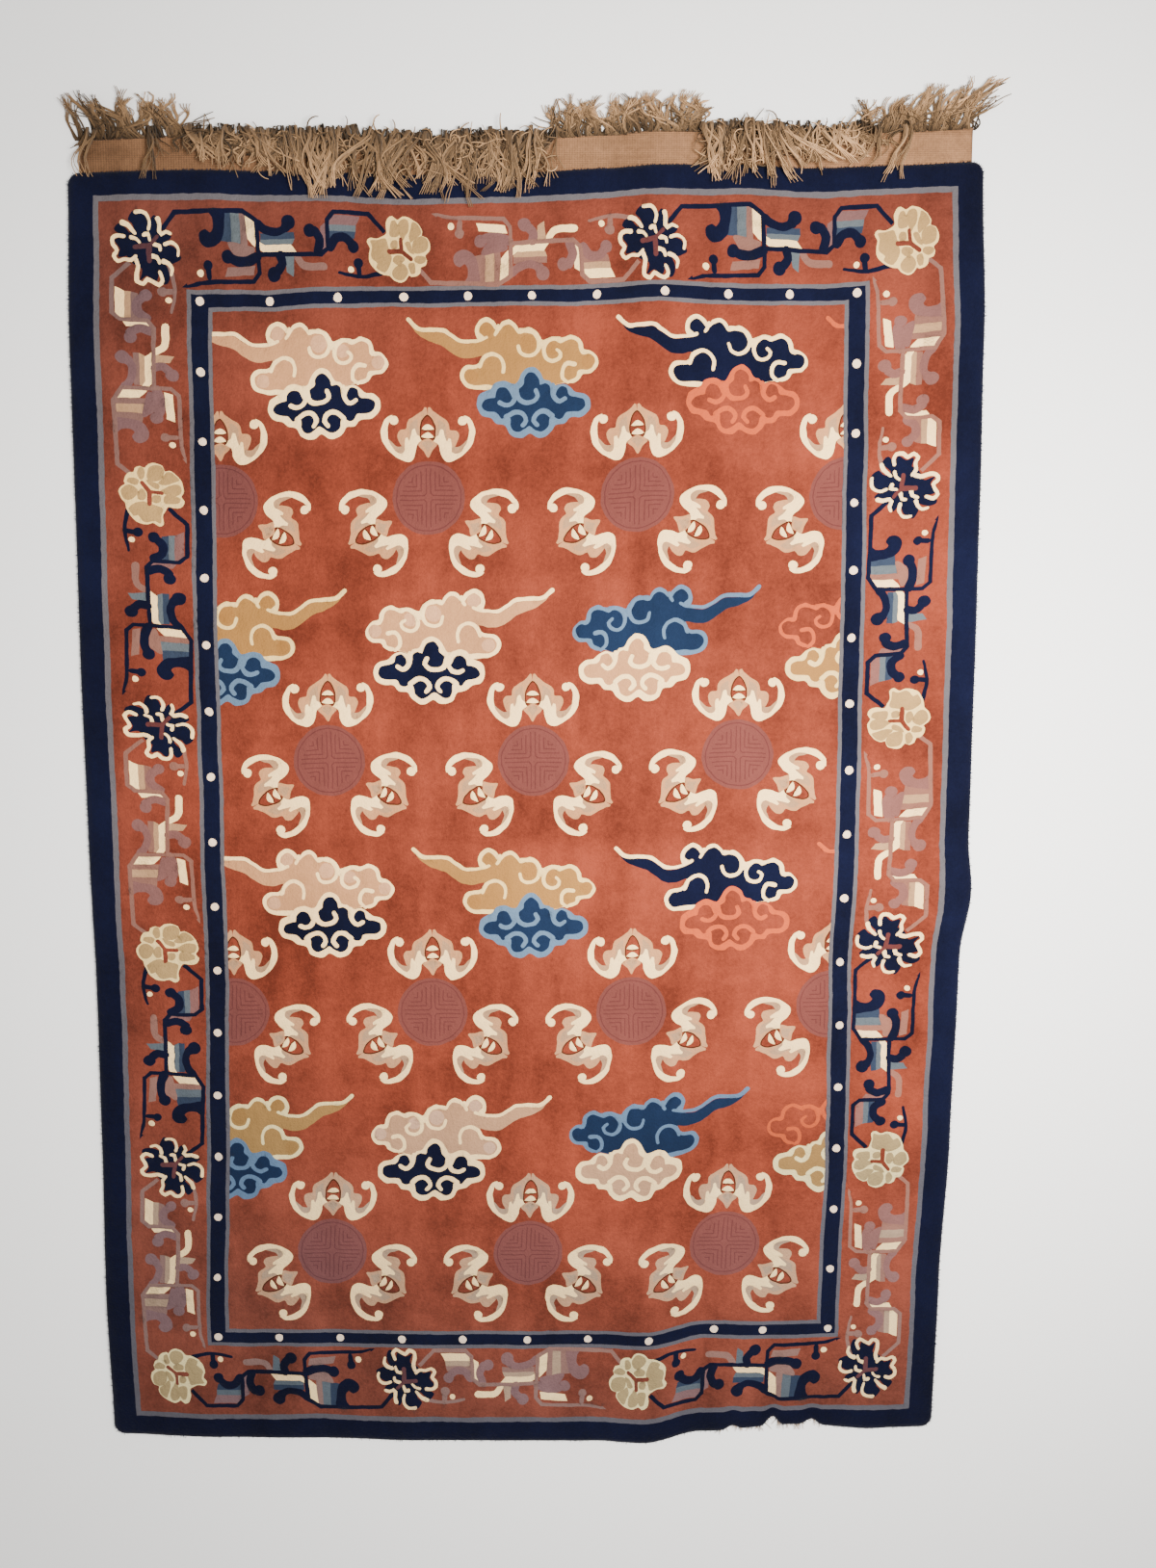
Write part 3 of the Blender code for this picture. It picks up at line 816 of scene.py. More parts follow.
def draw_borders(shapes):
    """Navy edge, guard stripe, flowering main border and pearl band, from the outside in."""
    guard_x, guard_y = GUARD["x"], GUARD["y"]
    inside_x, inside_y = guard_x - GUARD["width"], guard_y - GUARD["width"]
    pearl_x, pearl_y = PEARL_BAND["x"], PEARL_BAND["y"]
    line = PEARL_BAND["line"]
    field_x, field_y = FIELD_HALF_WIDTH, FIELD_HALF_LENGTH
    frame_strips(shapes, HALF_WIDTH + OVERHANG, HALF_LENGTH + OVERHANG, guard_x, guard_y, "navy")
    frame_strips(shapes, guard_x, guard_y, inside_x, inside_y, "stripe")
    frame_strips(shapes, inside_x, inside_y, pearl_x, pearl_y, GROUND)
    frame_strips(shapes, pearl_x, pearl_y, field_x, field_y, "stripe")
    frame_strips(shapes, pearl_x - line, pearl_y - line, field_x + line, field_y + line, "navy")
    middle_x = (pearl_x + field_x) / 2
    middle_y = (pearl_y + field_y) / 2
    pen = Pen(shapes)
    for i in range(PEARLS_ACROSS + 1):
        x = middle_x * (2 * i / PEARLS_ACROSS - 1)
        pen.disc(x + PEARL_SLIDES["fringed"][i], middle_y, PEARL_RADIUS, "pearl")
        pen.disc(x + PEARL_SLIDES["plain"][i], -middle_y, PEARL_RADIUS, "pearl")
    for i in range(1, PEARLS_ALONG):
        y = middle_y * (2 * i / PEARLS_ALONG - 1)
        pen.disc(-middle_x, y, PEARL_RADIUS, "pearl")
        pen.disc(middle_x, y, PEARL_RADIUS, "pearl")
    row_x = (inside_x + pearl_x) / 2 - BLOSSOM_INSET
    row_y = (inside_y + pearl_y) / 2 - BLOSSOM_INSET
    draw_main_border(shapes, row_x, row_y)


def draw_main_border(shapes, row_x, row_y):
    """Flowers at the corners and between, dark and pale by turns, and a vine from each to the next.

    The border is walked clockwise from the fringed end's left corner. The dark vines bend outward first on
    the ends and inward first on the sides, and the pale ones the other way about.
    """
    sides = table(
        "start turn length vines dark_up",
        ((-row_x, row_y), 0, 2 * row_x, 3, 1),
        ((row_x, row_y), -90, 2 * row_y, 5, -1),
        ((row_x, -row_y), 180, 2 * row_x, 3, 1),
        ((-row_x, -row_y), 90, 2 * row_y, 5, -1),
    )
    dark = True
    flowers = []
    for side in sides:
        pitch = side["length"] / side["vines"]
        walk = Pen([], *side["start"], side["turn"])
        for i in range(side["vines"]):
            up = side["dark_up"] if dark else -side["dark_up"]
            x, y = walk.place(pitch * i, 0)
            vine(Pen(shapes, x, y, side["turn"], pitch / VINE_LENGTH, up), NAVY_VINE if dark else PALE_VINE)
            corner = i == 0
            flower_up = 1 if corner or side["dark_up"] > 0 else -1
            flower_turn = side["turn"]
            if corner and side["dark_up"] < 0:
                flower_turn = side["turn"] + 90
            flowers.append((dark, x, y, flower_turn, flower_up))
            dark = not dark
    for is_dark, x, y, turn, up in flowers:
        pen = Pen(shapes, x, y, turn, 1, up)
        if is_dark:
            navy_blossom(pen)
        else:
            tan_blossom(pen)


# Pile mesh
# How finely the two sides are cut up, in millimetres: the step along curves, the longest straight edge, the
# step of the points spread between the shapes, and how far those keep clear of the shapes
FRONT, BACK = table("curve longest lattice clear", (3.2, 7.0, 8.0, 3.4), (5.0, 12.0, 14.0, 5.0))
LATTICE_SEED = 3
LATTICE_JITTER = 1.2
LATTICE_MARGIN = 7

# The rim's points in millimetres, and how the chart is cut up: only inside its shapes, with points this near
# each other made one
RIM_SPACING = 6.0
RIM_INSET = 4.0
RIM_WITHIN = 0.5
INSIDE_ONLY = 1
MERGE_WITHIN = 0.02

# Relief of the pile: the carved groove in metres, the rounding of the edge in millimetres, how the knots have
# shifted in millimetres, and its unevenness as waves to the metre and depth in metres
GROOVE = 0.0010
EDGE_ROUND = 12.0
EDGE_DROP = 3.0
SWAYS = table("wave reach layer", (9.0, 0.9, 5.0), (60.0, 1.6, 9.0))
SWAY_SEED = 5
UNEVEN, KNOTTY, COCKLE = table(
    "x y layer depth",
    (45, 30, 0.0, 0.0005),
    (260, 260, 7.0, 0.0003),
    (22, 40, 3.0, 0.0009),
)
SKIRT_RINGS = table(
    "outward height outward_in_map",
    (0.0006, 0.0045, 0.004),
    (0.0004, 0.0020, 0.007),
    (-0.0008, 0.0003, 0.010),
)


def lattice_points(step):
    """Points spread over the chart, so that the pile can swell and its shading stays smooth."""
    points = []
    rows = int(2 * HALF_LENGTH / step)
    columns = int(2 * HALF_WIDTH / step)
    chance = random.Random(LATTICE_SEED)
    for row in range(1, rows):
        shift = 0.5 if row % 2 else 0.0
        for column in range(1, columns):
            x = -HALF_WIDTH + (column + shift) * step + chance.uniform(-LATTICE_JITTER, LATTICE_JITTER)
            y = -HALF_LENGTH + row * step + chance.uniform(-LATTICE_JITTER, LATTICE_JITTER)
            if abs(x) < HALF_WIDTH - LATTICE_MARGIN and abs(y) < HALF_LENGTH - LATTICE_MARGIN:
                points.append((x, y))
    return points


def divided(outline, steps_in):
    """The same outline, with each edge in as many steps as its length asks for."""
    made = []
    for a, b in zip(outline, outline[1:] + outline[:1]):
        steps = steps_in(math.dist(a, b))
        for step in range(steps):
            share = step / steps
            made.append((a[0] + (b[0] - a[0]) * share, a[1] + (b[1] - a[1]) * share))
    return made


def rim_points(inset=0.0, spacing=RIM_SPACING):
    """Points round the edge of the chart, counter-clockwise, or round a line inset from it."""
    half_x, half_y = HALF_WIDTH - inset, HALF_LENGTH - inset
    corners = [(-half_x, -half_y), (half_x, -half_y), (half_x, half_y), (-half_x, half_y)]
    return divided(corners, lambda length: round(length / spacing))


def with_short_edges(points, longest):
    """The same outline, with points added along its long edges."""
    return divided(points, lambda length: max(1, math.ceil(length / longest)))


def tessellate(shapes, detail):
    """Cuts the chart into triangles along the edges of all shapes. Gives points, triangles and dyes."""
    coords, faces = [], []
    for points in [rim_points()] + [with_short_edges(points, detail["longest"]) for _, points in shapes]:
        faces.append(list(range(len(coords), len(coords) + len(points))))
        coords += [Vector(point) for point in points]
    drawn = KDTree(len(coords))
    for i, point in enumerate(coords):
        drawn.insert((*point, 0.0), i)
    drawn.balance()
    lattice = lattice_points(detail["lattice"])
    spread = [point for point in lattice if drawn.find((*point, 0.0))[2] > detail["clear"]]
    coords += [Vector(point) for point in spread + rim_points(RIM_INSET)]
    verts, _, triangles, _, _, owners = delaunay_2d_cdt(coords, [], faces, INSIDE_ONLY, MERGE_WITHIN, True)
    kept, dyes = [], []
    names = list(DYES)
    for corners, owner in zip(triangles, owners):
        if 0 not in owner:
            continue
        top = max(owner)
        kept.append(corners)
        dyes.append(names.index(shapes[top - 1][0]) if top else names.index(GROUND))
    return np.array([(v.x, v.y) for v in verts]), kept, np.array(dyes)


# Materials. A drifting colour is a sum of noises: over the place itself, over bands and over brushed streaks
SPECULAR = 0.06
SHEEN_ROUGHNESS = 0.5
BRUSHING = (17.0, 4.5, 1.0)
COLOUR_PARTS = table(
    "over scale detail weight",
    ("bands", 1.0, 3.0, 0.18),
    ("brushing", 1.0, 4.0, 0.26),
    ("place", 4.0, 4.0, 0.22),
    ("place", 60.0, 3.0, 0.12),
    ("place", 210.0, 2.0, 0.12),
    ("place", 600.0, 2.0, 0.10),
)
DRIFT_FROM = 0.41
DRIFT_TO = 0.59
# Darker towards the left: partly soil, partly painted shade of the light falling off there
SOIL_AND_SHADE = {"From Min": -0.6, "From Max": 0.6, "To Min": 0.60, "To Max": 1.20}
# How bright a yarn's tone makes it: from painted shade at the roots to a painted highlight at the tips
TONE_SHADE_AND_HIGHLIGHT = {"To Min": 0.05, "To Max": 3.30}
EVEN = (1, 1, 1)

# Finishes: bands is how narrow the bands of a drifting colour are along each axis, and relief is in layers
# from coarse to fine, each with its depth in metres
WOOL_FINISH = {
    "roughness": 0.92, "sheen": 0.03, "bands": (1.2, 11.0, 1.0),
    "relief": (
        {"kind": "noise", "scale": 70.0, "detail": 3.0, "stretch": (1.0, 0.45, 1.0), "depth": 0.0022},
        {"kind": "knots", "scale": 330.0, "depth": 0.0006},
        {"kind": "noise", "scale": 900.0, "detail": 2.0, "stretch": EVEN, "depth": 0.0007},
    ),
}
BACK_FINISH = {
    "roughness": 0.95, "sheen": 0.03, "bands": (1.2, 11.0, 1.0),
    "relief": (
        {"kind": "threads", "axis": "Y", "scale": 95.0, "sway": 1.4, "sway_scale": 3.0, "depth": 0.0006},
        {"kind": "noise", "scale": 420.0, "detail": 2.0, "stretch": EVEN, "depth": 0.0004},
    ),
}
STRIP_FINISH = {
    "roughness": 0.9, "sheen": 0.05, "bands": (3.0, 60.0, 1.0),
    "relief": (
        {"kind": "threads", "axis": "Y", "scale": 115.0, "sway": 2.2, "sway_scale": 6.0, "depth": 0.0005},
        {"kind": "threads", "axis": "X", "scale": 90.0, "sway": 1.0, "sway_scale": 1.0, "depth": 0.0004},
        {"kind": "noise", "scale": 700.0, "detail": 2.0, "stretch": EVEN, "depth": 0.0003},
    ),
}
YARN_FINISH = {
    "roughness": 0.85, "sheen": 0.05, "bands": (20.0, 8.0, 1.0),
    "relief": (
        {"kind": "noise", "scale": 900.0, "detail": 2.0, "stretch": (1.0, 0.35, 1.0), "depth": 0.0004},
    ),
}


class Paint:
    """A material of one finish, and the nodes that feed its shader."""

    def __init__(self, name, finish):
        self.finish = finish
        self.material = bpy.data.materials.new(name)
        self.material.use_nodes = True
        self.nodes, self.links = self.material.node_tree.nodes, self.material.node_tree.links
        self.shader = self.nodes["Principled BSDF"]
        self.shader.inputs["Roughness"].default_value = finish["roughness"]
        self.shader.inputs["Specular IOR Level"].default_value = SPECULAR
        self.shader.inputs["Sheen Weight"].default_value = finish["sheen"]
        self.shader.inputs["Sheen Roughness"].default_value = SHEEN_ROUGHNESS
        self.place = self.node("TexCoord", "Object", {})

    def node(self, kind, result, inputs, **choices):
        """The result of a new node, once its choices are made and its inputs are linked or set."""
        made = self.nodes.new("ShaderNode" + kind)
        for name, choice in choices.items():
            setattr(made, name, choice)
        for name, value in inputs.items():
            if isinstance(value, bpy.types.NodeSocket):
                self.links.new(value, made.inputs[name])
            else:
                made.inputs[name].default_value = value
        return made.outputs[result]

    def stretched(self, scale):
        """The place on the rug, scaled along each axis."""
        return self.node("Mapping", "Vector", {"Vector": self.place, "Scale": scale})

    def noise(self, over, scale, detail):
        return self.node("TexNoise", "Fac", {"Vector": over, "Scale": scale, "Detail": detail})

    def drifting(self, colour, drift):
        """A colour that drifts in bands, in blotches and from fibre to fibre."""
        bands = self.stretched(self.finish["bands"])
        over = {"bands": bands, "brushing": self.stretched(BRUSHING), "place": self.place}
        total = 0.0
        for part in COLOUR_PARTS:
            cloudy = self.noise(over[part["over"]], part["scale"], part["detail"])
            total = self.node("Math", 0, {0: cloudy, 1: part["weight"], 2: total}, operation="MULTIPLY_ADD")
        spread = {"Value": total, "From Min": DRIFT_FROM, "From Max": DRIFT_TO}
        share = self.node("MapRange", "Result", spread)
        dark = (*[channel * (1 - drift) for channel in colour], 1.0)
        light = (*[min(1.0, channel * (1 + drift)) for channel in colour], 1.0)
        return self.node("Mix", "Result", {"A": dark, "B": light, "Factor": share}, data_type="RGBA")

    def dusted_and_shaded(self, colour, dust_and_shade):
        """A colour that turns darker and greyer outside the clean oval: dust, and painted shade where the
        light falls off.
        """
        across, along = 1 / dust_and_shade["half_width"], 1 / dust_and_shade["half_length"]
        middle = (-dust_and_shade["x"] * across, -dust_and_shade["y"] * along, 0.0)
        oval = {"Vector": self.place, "Location": middle, "Scale": (across, along, 0.0)}
        far = self.node("VectorMath", "Value", {0: self.node("Mapping", "Vector", oval)}, operation="LENGTH")
        amount = self.node("MapRange", "Result", {"Value": far, "From Min": DUST_AND_SHADE_FROM, "From Max": DUST_AND_SHADE_TO})
        mix = {"A": colour, "B": (*dust_and_shade["colour"], 1.0), "Factor": amount}
        return self.node("Mix", "Result", mix, data_type="RGBA", blend_type="MULTIPLY")

    def soiled_and_shaded(self, colour, tone=None):
        """A colour that is darker towards the rug's left side, as dirt and as painted shade of the light
        falling off there, and as dark or pale as its tone says.
        """
        across = self.node("SeparateXYZ", "X", {"Vector": self.place})
        amount = self.node("MapRange", "Result", {"Value": across, **SOIL_AND_SHADE})
        if tone:
            amount = self.node("Math", 0, {0: amount, 1: tone}, operation="MULTIPLY")
        return self.node("VectorMath", "Vector", {0: colour, "Scale": amount}, operation="SCALE")

    def height(self, layer):
        """The height that one layer of relief gives each point."""
        if layer["kind"] == "knots":
            return self.node("TexVoronoi", "Distance", {"Vector": self.place, "Scale": layer["scale"]})
        if layer["kind"] == "noise":
            return self.noise(self.stretched(layer["stretch"]), layer["scale"], layer["detail"])
        rows = {"Vector": self.place, "Scale": layer["scale"], "Distortion": layer["sway"]}
        rows["Detail Scale"] = layer["sway_scale"]
        return self.node("TexWave", "Fac", rows, wave_type="BANDS", bands_direction=layer["axis"])

    def finished(self, colour):
        """The material, with its colour and all layers of its relief."""
        self.links.new(colour, self.shader.inputs["Base Color"])
        inputs = {"Strength": 1.0}
        for layer in self.finish["relief"]:
            inputs["Distance"] = layer["depth"]
            inputs["Height"] = self.height(layer)
            inputs["Normal"] = self.node("Bump", "Normal", inputs)
        self.links.new(inputs["Normal"], self.shader.inputs["Normal"])
        return self.material


def wool(name, colour, drift):
    """Cut wool pile: knots about 3 mm wide with fibre ends, brushed one way, faded in bands."""
    paint = Paint("wool_" + name, WOOL_FINISH)
    # Darker outside the clean oval: partly dust, partly painted shade of the light's falloff
    dust_and_shade = RED_DUST_AND_SHADE if name in RED_DYES else WARM_DUST_AND_SHADE if name in WARM_DYES else DUST_AND_SHADE
    return paint.finished(paint.dusted_and_shaded(paint.drifting(colour, drift), dust_and_shade))


def woven_back(name, colour, drift):
    """The flat knots on the underside: rows of small ridges across the rug."""
    paint = Paint("back_" + name, BACK_FINISH)
    return paint.finished(paint.drifting([channel * BACK_SHADE for channel in colour], drift))


def kilim_cotton():
    """Plain weave of tan cotton: fine wefts across, with slubs, darker towards the left as dirt and painted
    shade.
    """
    paint = Paint("cotton_strip", STRIP_FINISH)
    return paint.finished(paint.soiled_and_shaded(paint.drifting(STRIP_COLOUR, STRIP_DRIFT)))


def fringe_cotton(name, colour):
    """Spun cotton yarn, each of its own tone, with painted shade darkening its root and a painted highlight
    paling its tip.
    """
    paint = Paint(name, YARN_FINISH)
    base = paint.drifting(colour, YARN_DRIFT)
    tone = paint.node("Attribute", "Fac", {}, attribute_name="tone")
    return paint.finished(paint.soiled_and_shaded(base, paint.node("MapRange", "Result", {"Value": tone, **TONE_SHADE_AND_HIGHLIGHT})))


def add_object(name, verts, faces, materials, owners=None):
    """A mesh object from vertices in metres and faces, with the material of each face."""
    mesh = bpy.data.meshes.new(name)
    mesh.from_pydata([tuple(v) for v in verts], [], [tuple(f) for f in faces])
    for material in materials:
        mesh.materials.append(material)
    if owners is not None:
        mesh.polygons.foreach_set("material_index", np.array(owners, dtype=np.int32))
    mesh.update()
    made = bpy.data.objects.new(name, mesh)
    bpy.context.collection.objects.link(made)
    return made


def add_dyed(name, verts, faces, dyes, materials):
    """A mesh object whose faces take the materials of their dyes."""
    kept = sorted(set(dyes))
    slots = {dye: i for i, dye in enumerate(kept)}
    return add_object(name, verts, faces, [materials[dye] for dye in kept], [slots[dye] for dye in dyes])


def shade_smooth(piece):
    piece.data.polygons.foreach_set("use_smooth", np.ones(len(piece.data.polygons), dtype=bool))


def dress(piece, node):
    """The piece stands for its node and lies still with the rug; the node's own part is hidden."""
    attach(piece, "root")
    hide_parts(node)
    return piece


MAP_MARGIN = 0.005


def lay_flat_map(piece, skirt_out=None):
    """A bake map seen straight from above; points of the skirt are pushed outward to have an area there."""
    layer = piece.data.uv_layers.new(name="OFBake")
    co = np.empty(len(piece.data.vertices) * 3)
    piece.data.vertices.foreach_get("co", co)
    flat = co.reshape(-1, 3)[:, :2].copy()
    if skirt_out is not None:
        flat += skirt_out
    low, high = flat.min(axis=0), flat.max(axis=0)
    flat = (flat - low) / (high - low).max() * (1 - 2 * MAP_MARGIN) + MAP_MARGIN
    corners = np.empty(len(piece.data.loops), dtype=np.int32)
    piece.data.loops.foreach_get("vertex_index", corners)
    layer.data.foreach_set("uv", flat[corners].ravel())


# Pile
def lumps(x, y, kind):
    """How far a kind of unevenness lifts a point of the real rug."""
    return noise.noise(Vector((x * kind["x"], y * kind["y"], kind["layer"]))) * kind["depth"]


def pile_height(x, y, grooved, real_x, real_y):
    """The pile's top over a point of the chart, rounded down at the edge and sunk where two dyes meet."""
    inset = min(HALF_WIDTH - abs(x), HALF_LENGTH - abs(y))
    drop = EDGE_DROP * max(0.0, 1 - inset / EDGE_ROUND) ** 3 * MM
    level = pile_top(real_x, real_y) - drop - (GROOVE if grooved else 0.0)
    return level + lumps(real_x, real_y, UNEVEN) + lumps(real_x, real_y, KNOTTY)


def region_of(x, y):
    """The part of the pile that a point of the chart belongs to."""
    x, y = abs(x), abs(y)
    if x > GUARD["x"] - GUARD["width"] or y > GUARD["y"] - GUARD["width"]:
        return "dark_edge"
    if x > PEARL_BAND["x"] or y > PEARL_BAND["y"]:
        return "flower_border"
    if x > FIELD_HALF_WIDTH or y > FIELD_HALF_LENGTH:
        return "pearl_band"
    return "cloud_field"


def sway(x, y):
    """Moves a point of the chart as the knots there have shifted. Points near each other move alike."""
    inset = min(HALF_WIDTH - abs(x), HALF_LENGTH - abs(y))
    give = min(1.0, max(0.0, inset / EDGE_ROUND))
    fine, slow = (
        noise.noise_vector(Vector((x, y, kind["layer"])) / kind["wave"]) * kind["reach"] for kind in SWAYS
    )
    return x + (fine.x + slow.x) * give, y + (fine.y + slow.y) * give


def make_pile():
    """The pile as four pieces: the dark edge, the border of flowers, the band of pearls and the field."""
    chart = Chart(FRONT["curve"])
    draw_field(chart)
    draw_borders(chart)
    points, triangles, dyes = tessellate(chart, FRONT)
    corners = np.array(triangles)
    lowest = np.full(len(points), len(DYES))
    highest = np.full(len(points), -1)
    for k in range(3):
        np.minimum.at(lowest, corners[:, k], dyes)
        np.maximum.at(highest, corners[:, k], dyes)
    grooved = lowest != highest
    verts = np.empty((len(points), 3))
    for i, (x, y) in enumerate(points.tolist()):
        x, y = sway(x, y)
        real_x, real_y = on_rug(x, y)
        verts[i] = real_x, real_y, pile_height(x, y, grooved[i], real_x, real_y)
    middles = points[corners].mean(axis=1)
    regions = np.array([region_of(x, y) for x, y in middles])
    materials = [wool(name, dye["colour"], dye["drift"]) for name, dye in DYES.items()]
    made = []
    for name in ("cloud_field", "pearl_band", "flower_border", "dark_edge"):
        chosen = np.flatnonzero(regions == name)
        used, inverse = np.unique(corners[chosen], return_inverse=True)
        faces = inverse.reshape(-1, 3)
        piece_verts = verts[used]
        owners = dyes[chosen]
        skirt_out = None
        if name == "dark_edge":
            piece_verts, faces, owners, skirt_out = add_skirt(points, used, piece_verts, faces, owners)
        piece = add_dyed(name, piece_verts, faces, owners.tolist(), materials)
        shade_smooth(piece)
        lay_flat_map(piece, skirt_out)
        made.append(dress(piece, "carpet"))
    return made


def add_skirt(points, used, verts, faces, owners):
    """Brings the pile's outer edge down to the floor."""
    place = {index: i for i, index in enumerate(used)}
    rim = []
    for i, index in enumerate(used):
        x, y = points[index]
        if abs(x) > HALF_WIDTH - RIM_WITHIN or abs(y) > HALF_LENGTH - RIM_WITHIN:
            rim.append((around(x, y), place[index]))
    rim.sort()
    order = [index for _, index in rim]
    verts = [tuple(v) for v in verts]
    faces = [tuple(f) for f in faces]
    owners = list(owners)
    skirt_out = [(0.0, 0.0)] * len(verts)
    navy = list(DYES).index("navy")
    above = order
    for ring in SKIRT_RINGS:
        bulge, flat_out = ring["outward"], ring["outward_in_map"] - ring["outward"]
        below = []
        for index in order:
            x, y, _ = verts[index]
            chart_x, chart_y = points[used[index]]
            away = Vector((chart_x, chart_y * HALF_WIDTH / HALF_LENGTH)).normalized()
            if abs(chart_x) < HALF_WIDTH - CORNER_RADIUS:
                away = Vector((0.0, math.copysign(1.0, chart_y)))
            elif abs(chart_y) < HALF_LENGTH - CORNER_RADIUS:
                away = Vector((math.copysign(1.0, chart_x), 0.0))
            below.append(len(verts))
            verts.append((x + away.x * bulge, y + away.y * bulge, ring["height"]))
            skirt_out.append((away.x * flat_out, away.y * flat_out))
        for i in range(len(order)):
            after = (i + 1) % len(order)
            faces.append((above[i], below[i], below[after]))
            faces.append((above[i], below[after], above[after]))
            owners += [navy, navy]
        above = below
    return verts, faces, np.array(owners), np.array(skirt_out)


def around(x, y):
    """How far round the edge of the chart a point on it lies, counter-clockwise from the first corner."""
    side, end = HALF_WIDTH - RIM_WITHIN, HALF_LENGTH - RIM_WITHIN
    if y <= -end and x < side:
        return x + HALF_WIDTH
    if x >= side and y < end:
        return 2 * HALF_WIDTH + y + HALF_LENGTH
    if y >= end and x > -side:
        return 2 * (HALF_WIDTH + HALF_LENGTH) + HALF_WIDTH - x
    return 4 * HALF_WIDTH + 2 * HALF_LENGTH + HALF_LENGTH - y


# Underside
def make_foundation():
    """The knotted and woven base of the rug. Its underside shows the pattern as flat knots."""
    chart = Chart(BACK["curve"])
    draw_field(chart)
    draw_borders(chart)
    points, triangles, dyes = tessellate(chart, BACK)
    plain = Chart(BACK["curve"])
    frame_strips(plain, HALF_WIDTH + OVERHANG, HALF_LENGTH + OVERHANG, GUARD["x"], GUARD["y"], "navy")
    top_points, top_triangles, _ = tessellate(plain, BACK)
    scale = 1 - BACK_INSET / HALF_WIDTH
    verts = []
    for rows, height in ((points, 0.0), (top_points, BACK_THICKNESS)):
        for x, y in (rows * scale).tolist():
            verts.append((*on_rug(*sway(x, y)), height))
    count = len(points)
    above = {(round(x, 1), round(y, 1)): i + count for i, (x, y) in enumerate(top_points.tolist())}
    faces, owners, uses = [], [], {}
    for (a, b, c), dye in zip(triangles, dyes):
        faces.append((c, b, a))
        owners.append(dye)
        for edge in ((a, b), (b, c), (c, a)):
            uses[edge] = dye
    faces += [tuple(i + count for i in face) for face in top_triangles]
    owners += [list(DYES).index(GROUND)] * len(top_triangles)
    for (a, b), dye in uses.items():
        if (b, a) in uses:
            continue
        top_a, top_b = (above.get((round(points[i][0], 1), round(points[i][1], 1))) for i in (a, b))
        if top_a is not None and top_b is not None:
            faces.append((a, b, top_b, top_a))
            owners.append(dye)
    used = sorted({i for face in faces for i in face})
    places = {old: new for new, old in enumerate(used)}
    verts = [verts[i] for i in used]
    faces = [tuple(places[i] for i in face) for face in faces]
    materials = [woven_back(name, dye["colour"], dye["drift"]) for name, dye in DYES.items()]
    piece = add_dyed("foundation", verts, faces, owners, materials)
    return dress(piece, "carpet")


# Strip and fringe
def level_at(line, x):
    """The y of a line of points at x, straight from point to point."""
    for (x0, y0), (x1, y1) in zip(line, line[1:]):
        if x <= x1:
            return y0 + (y1 - y0) * (x - x0) / (x1 - x0)
    return line[-1][1]


def strip_ends(pile_edge):
    """The x of the strip's left and right end."""
    return pile_edge[0][0] + STRIP_END_INSET, pile_edge[-1][0] - STRIP_END_INSET


def make_strip(pile_edge):
    """The flat woven strip beyond the pile, a little cockled."""
    left, right = strip_ends(pile_edge)
    verts, faces = [], []
    for row in range(STRIP_ROWS + 1):
        for column in range(STRIP_COLUMNS + 1):
            x = left + (right - left) * column / STRIP_COLUMNS
            y = level_at(pile_edge, x) + GAP + STRIP_DEPTH * row / STRIP_ROWS
            verts.append((x, y, STRIP_THICKNESS + lumps(x, y, COCKLE)))
    columns = STRIP_COLUMNS + 1
    for row in range(STRIP_ROWS):
        for column in range(STRIP_COLUMNS):
            a = row * columns + column
            faces.append((a, a + 1, a + 1 + columns, a + columns))
    count = len(verts)
    verts += [(x, y, 0.0) for x, y, _ in verts]
    uses = {(f[i], f[(i + 1) % 4]) for f in faces for i in range(4)}
    faces += [tuple(i + count for i in reversed(f)) for f in list(faces)]
    faces += [(b, a, a + count, b + count) for a, b in uses if (b, a) not in uses]
    piece = add_object("kilim_strip", verts, faces, [kilim_cotton()])
    shade_smooth(piece)
    return dress(piece, "kilim_fringe")


SIDEWAYS_LEAST = 0.05
FLOOR_CLEARANCE = 0.0002


class Yarns:
    """Gathers three-sided yarns into one mesh."""

    def __init__(self):
        self.verts, self.faces, self.tones = [], [], []

    def add(self, path, radius, tip_radius, tones):
        """One yarn along a path of points, closed at both ends, with a tone at its root and at its tip."""
        first = len(self.verts)
        last = len(path) - 1
        for i, point in enumerate(path):
            along = (Vector(path[min(i + 1, last)]) - Vector(path[max(i - 1, 0)])).normalized()
            side = along.cross(Vector((0.0, 0.0, 1.0)))
            side = side.normalized() if side.length > SIDEWAYS_LEAST else Vector((1.0, 0.0, 0.0))
            rise = side.cross(along)
            share = i / last
            reach = radius + (tip_radius - radius) * share * share
            for k in range(3):
                turn = math.radians(90 + 120 * k)
                place = Vector(point) + (side * math.cos(turn) + rise * math.sin(turn)) * reach
                self.verts.append((place.x, place.y, max(FLOOR_CLEARANCE, place.z)))
                self.tones.append(tones[0] + (tones[1] - tones[0]) * share)
        self.faces.append((first, first + 1, first + 2))
        for i in range(last):
            ring = first + 3 * i
            for k in range(3):
                after = (k + 1) % 3
                self.faces.append((ring + k, ring + 3 + k, ring + 3 + after, ring + after))
        end = first + 3 * last
        self.faces.append((end, end + 2, end + 1))

    def make(self, name, material):
        piece = add_object(name, self.verts, self.faces, [material])
        layer = piece.data.attributes.new("tone", "FLOAT", "POINT")
        layer.data.foreach_set("value", np.array(self.tones, dtype=np.float32))
        shade_smooth(piece)
        return piece


